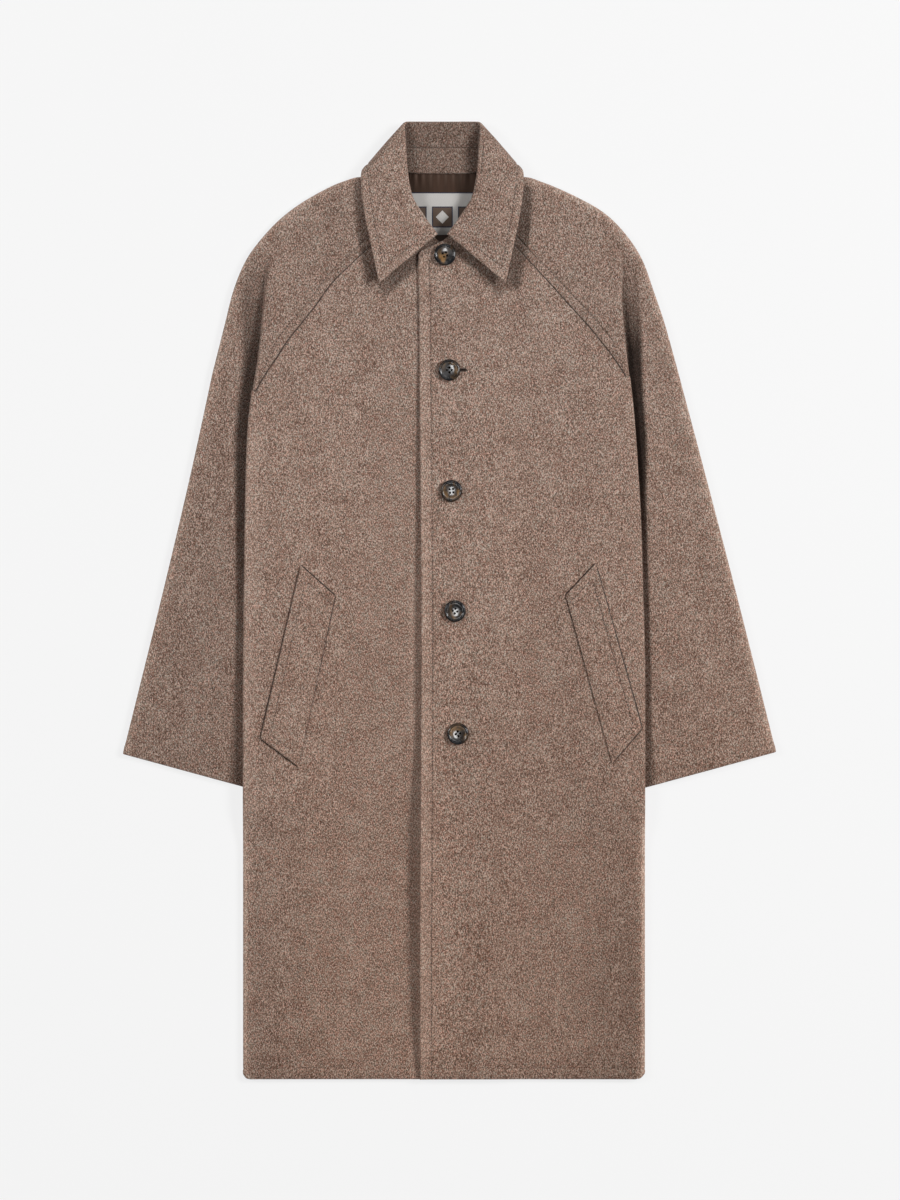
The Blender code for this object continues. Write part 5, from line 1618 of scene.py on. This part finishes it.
def turned(section, segments):
    """Body turned from a half section: rings of points round the axis, with a point at each pole."""
    angle = np.arange(segments) * 2.0 * math.pi / segments
    radius = section[1:-1, 0][:, None]
    height = np.broadcast_to(section[1:-1, 1][:, None], (len(section) - 2, segments))
    rings = np.stack((radius * np.cos(angle), radius * np.sin(angle), height), axis=-1)
    number = np.arange(rings.shape[0] * segments).reshape(-1, segments)
    after = np.roll(number, -1, axis=1)
    quads = np.stack((number[:-1], number[1:], after[1:], after[:-1]), axis=-1).reshape(-1, 4)
    face = number.size
    caps = [(face, a, b) for a, b in zip(number[0].tolist(), after[0].tolist())]
    caps += [(face + 1, b, a) for a, b in zip(number[-1].tolist(), after[-1].tolist())]
    poles = np.array(((0.0, 0.0, section[0, 1]), (0.0, 0.0, section[-1, 1])))
    return np.concatenate((rings.reshape(-1, 3), poles)), quads.tolist() + caps


def plain_object(name, points, faces):
    """Mesh object for a Boolean, removed again afterwards."""
    mesh = bpy.data.meshes.new(name)
    mesh.from_pydata(points.tolist(), [], faces)
    made = bpy.data.objects.new(name, mesh)
    bpy.context.collection.objects.link(made)
    return made


def hole_middles():
    """Middles of the holes, evenly round a circle."""
    around = (0.5 + np.arange(HOLES)) * 2.0 * math.pi / HOLES
    return HOLE_OUT * np.stack((np.cos(around), np.sin(around), np.zeros(HOLES)), axis=-1)


def drilled_button():
    """Points and faces of a button: the turned body less a drill for each hole."""
    knots = np.arange(len(BUTTON_SECTION))
    run = np.linspace(0.0, knots[-1], 66)
    section = np.stack([curve(knots, column(BUTTON_SECTION, index), run) for index in range(2)], axis=-1)
    body = plain_object("button_body", *turned(section, 72))
    low, high = DRILL
    points, faces = turned(np.array(((0.0, high), (HOLE_RADIUS, high), (HOLE_RADIUS, low), (0.0, low))), 20)
    whole = (points[None] + hole_middles()[:, None]).reshape(-1, 3)
    first = np.arange(HOLES) * len(points)
    many = [tuple(corner + start for corner in face) for start in first.tolist() for face in faces]
    cutter = plain_object("button_drills", whole, many)
    cut = body.modifiers.new("holes", "BOOLEAN")
    cut.operation = "DIFFERENCE"
    cut.object = cutter
    cut.solver = "EXACT"
    graph = bpy.context.evaluated_depsgraph_get()
    mesh = bpy.data.meshes.new_from_object(body.evaluated_get(graph))
    points = np.empty(len(mesh.vertices) * 3)
    mesh.vertices.foreach_get("co", points)
    faces = [tuple(face.vertices) for face in mesh.polygons]
    for made in (body, cutter):
        bpy.data.objects.remove(made, do_unlink=True)
    return points.reshape(-1, 3), faces


def turn_and_move(points, angle, to):
    """Points turned about the vertical axis and moved."""
    cos, sin = math.cos(angle), math.sin(angle)
    spin = np.array(((cos, -sin, 0.0), (sin, cos, 0.0), (0.0, 0.0, 1.0)))
    return points @ spin.T + np.array(to)


def sewing(angle, to):
    """Thread of a button: an upright end of thread that fills the lower part of each hole, nearly black as
    painted shade.
    """
    rise = np.linspace(0.0, THREAD_TOP, 4)[:, None] * np.array((0.0, 0.0, 1.0))
    path = hole_middles()[:, None] + rise[None]
    path = turn_and_move(path.reshape(-1, 3), angle, to).reshape(path.shape)
    out = np.broadcast_to(np.array((1.0, 0.0, 0.0)), path.shape)
    return tube_rings(path, out, np.full(path.shape[:2], THREAD_FILL * HOLE_RADIUS), 8)


horn = horn_material()
button_points, button_faces = drilled_button()
from_axis = np.hypot(button_points[:, 0], button_points[:, 1])
rim_tone = RIM_SHARE * ease((from_axis - RIM_FROM) / RIM_FADE)
ring = np.linspace(0.0, 2.0 * math.pi, 25)
reach = np.array((0.0, 0.4, 0.75, 1.0))[:, None] * BUTTON_RADIUS
sewn = []
for number, ((x, y), angle) in enumerate(zip(BUTTON_AT, BUTTON_TURN), start=1):
    under = front_height("left", x - CENTRE + reach * np.cos(ring), y + reach * np.sin(ring))
    seat = (x, y, float(under.max()) + CLOTH / 2 + GAP + BUTTON_RAISE)
    placed = turn_and_move(button_points, angle, seat)
    placed[:, 2] += (placed[:, :2] - (x, y)) @ np.array(BUTTON_TILT[number - 1])
    piece = add_piece("button_%d_horn" % number, placed.tolist(), button_faces, horn, rim_tone)
    piece.data.set_sharp_from_angle(angle=EDGE_TURN)
    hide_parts("button_%d" % number)
    sewn.append(sewing(angle, seat))
add_tubes("button_thread", np.concatenate(sewn), slit_dark)

# Floor, light and camera.
# A plain pale floor that glows a little, and soft lamps left, right, beyond the collar and overhead.
# The camera looks straight down.
FLOOR_REACH = 8.0
FLOOR_Z = -0.0004         # just under the cloth
FLOOR_FINISH = {"Roughness": 0.8, "Emission Color": WHITE, "Emission Strength": 0.79}
FLOOR_TONE = (0.11, 0.11, 0.11, 1.0)
FLOOR_DARK = (0.10945, 0.10945, 0.10945, 1.0)
FLOOR_FINENESS = 3.0      # of the drift between the two, in waves a metre
FRAME_HEIGHT = 1.380      # metres that the picture's height shows
CAMERA_HEIGHT = 6.0
CAMERA_OFF = 0.0006       # off the coat's middle along x and y
SENSOR = 24.0             # millimetres
LAMPS = (                 # name, place, breadth, length, watts
    ("lamp_left", (-3.1, 1.1, 3.0), 1.10, 1.3, 87.0),
    ("lamp_right", (3.1, 1.1, 3.0), 1.10, 1.3, 174.0),
    ("lamp_top", (0.0, 3.2, 2.8), 1.8, 1.2, 6.0),
    ("lamp_overhead", (0.0, -0.1, 8.5), 0.9, 1.8, 57.0),
)
FILL = 0.03               # light from all round


def floor_material():
    """Pale floor that glows, as on a light table, with broad noise in its tone."""
    made, tree, shader, at = new_material("pale_floor", FLOOR_FINISH)
    speck = noise(tree, at, FLOOR_FINENESS, 1.0)
    tree.links.new(ramp(tree, speck, ((0.0, FLOOR_DARK), (1.0, FLOOR_TONE))), shader.inputs["Base Color"])
    return made


floor_mesh = bpy.data.meshes.new("floor")
floor_corners = np.array(((-1.0, -1.0, 0.0), (1.0, -1.0, 0.0), (1.0, 1.0, 0.0), (-1.0, 1.0, 0.0)))
floor_corners = FLOOR_REACH * floor_corners + np.array((0.0, 0.0, FLOOR_Z))
floor_mesh.from_pydata(floor_corners.tolist(), [], ((0, 1, 2, 3),))
floor_mesh.materials.append(floor_material())
floor = bpy.data.objects.new("floor", floor_mesh)
bpy.context.collection.objects.link(floor)

for name, where, breadth, length, watts in LAMPS:
    lamp = bpy.data.lights.new(name, "AREA")
    lamp.shape = "RECTANGLE"
    lamp.size = breadth
    lamp.size_y = length
    lamp.energy = watts
    holder = bpy.data.objects.new(name, lamp)
    bpy.context.collection.objects.link(holder)
    holder.location = where
    aim = -holder.location.normalized()
    holder.rotation_euler = aim.to_track_quat("-Z", "Y").to_euler()

world = bpy.data.worlds.new("studio")
world.use_nodes = True
background = world.node_tree.nodes["Background"]
background.inputs["Color"].default_value = WHITE
background.inputs["Strength"].default_value = FILL
bpy.context.scene.world = world
bpy.context.scene.view_settings.view_transform = "Standard"

camera_data = bpy.data.cameras.new("overhead")
camera_data.sensor_fit = "VERTICAL"
camera_data.sensor_height = SENSOR
camera_data.lens = SENSOR * CAMERA_HEIGHT / FRAME_HEIGHT
camera_data.clip_end = 50.0
camera = bpy.data.objects.new("overhead", camera_data)
bpy.context.collection.objects.link(camera)
camera.location = (CAMERA_OFF, CAMERA_OFF, CAMERA_HEIGHT)
bpy.context.scene.camera = camera
